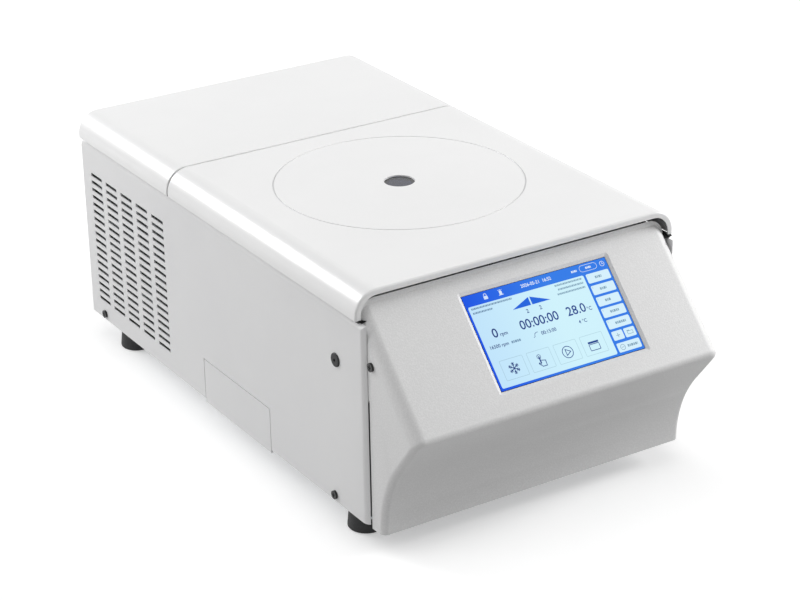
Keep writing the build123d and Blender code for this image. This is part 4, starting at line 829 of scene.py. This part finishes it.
def fold_wall(side, panel):
    """The turned-in edge of the front fold, which closes it beside the fascia."""
    near_x = fascia_half + fold_gap
    wall = side_block("fold_wall", side, near_x, near_x + sheet, panel_front_y, fascia_back_y - sheet,
                      fascia_foot_z + sheet, panel_top_z)
    combine(wall, envelope_of(panel, sheet / 4), "INTERSECT")
    return wall


def make_side_panel(side, node):
    """The folded side without the inner part of its front fold, so the fascia's wall runs past it."""
    panel = merged_copy(node + "_skin", node)
    cutter = side_block("cutter", side, panel_half - panel_flange - cut_past, fascia_half + fold_gap,
                        panel_front_y - cut_past, fascia_back_y + fold_gap,
                        fascia_foot_z, panel_top_z + cut_past)
    wall = fold_wall(side, panel)
    combine(panel, cutter, "DIFFERENCE")
    combine(panel, wall, "UNION")
    smooth_by_angle(panel.data)
    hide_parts(node)
    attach(panel, "body")


def make_lid_shade_strip(side, name):
    """A dark strip of painted shadow on the panel's top fold, in the gap under the lid and the rear cover."""
    skirt_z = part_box("lid_shell")[0].z
    fold_x = panel_half - panel_fold
    fold_z = panel_top_z - panel_fold
    radius = panel_fold - sheet / 4
    start = math.asin((fascia_half + 2 * fold_gap - fold_x) / radius)
    end = math.acos(max(min((skirt_z - shade_strip_show - fold_z) / radius, 1), -1))
    steps = 6
    loop = []
    for i in range(steps + 1):
        angle = start + (end - start) * i / steps
        loop.append((fold_x + radius * math.sin(angle), fold_z + radius * math.cos(angle)))
    outer_x = panel_half + shade_strip_out
    loop += [
        (outer_x, loop[-1][1]),
        (outer_x, shade_strip_top_z - shade_strip_bevel),
        (outer_x - shade_strip_bevel, shade_strip_top_z),
        (loop[0][0], shade_strip_top_z),
    ]
    rear_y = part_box("side_panel_left")[1].y - shade_strip_rear_gap
    # The black rubber finish paints the shadow in the gap under the skirt.
    shade_strip = prism(name, loop, panel_front_y + panel_fold, rear_y,
                 lambda x, z, y: Vector((side * x, y, z)), "black_rubber")
    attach(shade_strip, "body")


def flank_skin(side):
    """The wall of the fascia that runs back past the panel's fold, rounded onto the slope."""
    steps = 14
    outer = slope_side_round - flank_shy
    inner = slope_side_round - fascia_wall
    centre_x = fascia_half - slope_side_round

    def arc(radius, share):
        angle = math.pi / 2 * share
        return centre_x + radius * math.sin(angle), radius * math.cos(angle) - slope_side_round

    loop = [arc(outer, i / steps) for i in range(steps + 1)]
    loop += [(fascia_half - flank_shy, -flank_deep), (fascia_half - fascia_wall, -flank_deep)]
    loop += [arc(inner, 1 - i / steps) for i in range(steps + 1)]

    def on_slope(x, deep, along):
        at = Vector((0, nose_y, nose_z)) + slope_up * along + slope_out * deep
        return Vector((side * x, at.y, at.z))

    skin = prism("flank", loop, flank_start, flank_end, on_slope)
    front_y = panel_front_y - fold_gap - flank_lap
    low_z = fascia_foot_z + flank_lap
    high_z = panel_top_z + fold_gap + flank_lap
    window = [
        (front_y, low_z),
        (chassis_front_y - flank_lap, low_z),
        (chassis_front_y - flank_lap, flank_step_z),
        (fascia_back_y, flank_step_z),
        (fascia_back_y, high_z),
        (front_y, high_z),
    ]
    near_x = side * (panel_half - panel_flange - fold_gap - flank_lap)
    keep = prism("keep", window, near_x, side * (fascia_half + cut_past), lambda y, z, x: Vector((x, y, z)))
    combine(skin, keep, "INTERSECT")
    return skin


def make_fascia():
    """The moulded front, whole past the side panels, with its top lip falling away to the back."""
    fascia = merged_copy("front_fascia_skin", "front_fascia")
    for side in (-1, 1):
        combine(fascia, flank_skin(side), "UNION")
    round_x = fascia_half - brow_round
    round_z = brow_top_z - brow_round
    for vertex in fascia.data.vertices:
        at = vertex.co
        if at.z <= round_z or at.y <= brow_y:
            continue
        away = Vector((max(abs(at.x) - round_x, 0), at.z - round_z))
        at.z -= lip_fall * (at.y - brow_y) * away.normalized().y
    smooth_by_angle(fascia.data)
    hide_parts("front_fascia")
    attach(fascia, "body")


# Marks on the rotor and the rocker

def surface_of(node):
    form = bmesh.new()
    form.from_mesh(nodes[node].data)
    tree = BVHTree.FromBMesh(form)
    form.free()
    return tree


def laid_on(surface, start, direction):
    """The point where a ray meets the surface, a hair above it."""
    hit = surface.ray_cast(start, direction)
    return hit[0] + hit[1] * mark_lift


def make_rotor_numbers():
    """The place numbers marked on the rotor outside each tube mouth."""
    surface = surface_of("angle_rotor")
    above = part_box("angle_rotor")[1].z + ray_start
    verts = []
    faces = []
    for place in range(rotor_places):
        angle = math.radians(-90 + 360 / rotor_places * place)
        out = Vector((math.cos(angle), math.sin(angle)))
        right = Vector((-out.y, out.x))
        corners, loops = lettering(str(place + 1), number_h, 3, centred=True)
        first = len(verts)
        faces += [tuple(first + i for i in loop) for loop in loops]
        for corner in corners:
            at = out * (number_ring_r - corner.y) + right * corner.x
            verts.append(laid_on(surface, Vector((at.x, at.y + chamber_y, above)), Vector((0, 0, -1))))
    numbers = add_mesh("rotor_numbers", verts, faces, slot_materials["marking"])
    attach(numbers, "rotor")


def make_rocker_marks():
    """The line and the ring on the two ends of the power rocker."""
    surface = surface_of("power_rocker")
    low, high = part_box("power_rocker")
    middle = (low + high) / 2
    verts = []
    faces = []
    for words, up in (("I", 1), ("O", -1)):
        corners, loops = lettering(words, rocker_mark_h, 3, centred=True)
        first = len(verts)
        faces += [tuple(first + i for i in loop) for loop in loops]
        for corner in corners:
            z = middle.z + up * rocker_mark_out + corner.y
            start = Vector((middle.x - corner.x, high.y + ray_start, z))
            verts.append(laid_on(surface, start, Vector((0, -1, 0))))
    marks = add_mesh("rocker_marks", verts, faces, slot_materials["marking"])
    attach(marks, "rocker")


bpy.context.scene.view_settings.view_transform = "Standard"
make_camera()
make_world()
make_floor()
for lamp in lamps:
    make_lamp(*lamp)
dress_nodes()
make_side_panel(-1, "side_panel_left")
make_side_panel(1, "side_panel_right")
# Painted shadow: dark strips on the panels' top folds under the skirts
make_lid_shade_strip(-1, "lid_shade_strip_left")
make_lid_shade_strip(1, "lid_shade_strip_right")
make_fascia()
make_display()
make_rotor_numbers()
make_rocker_marks()
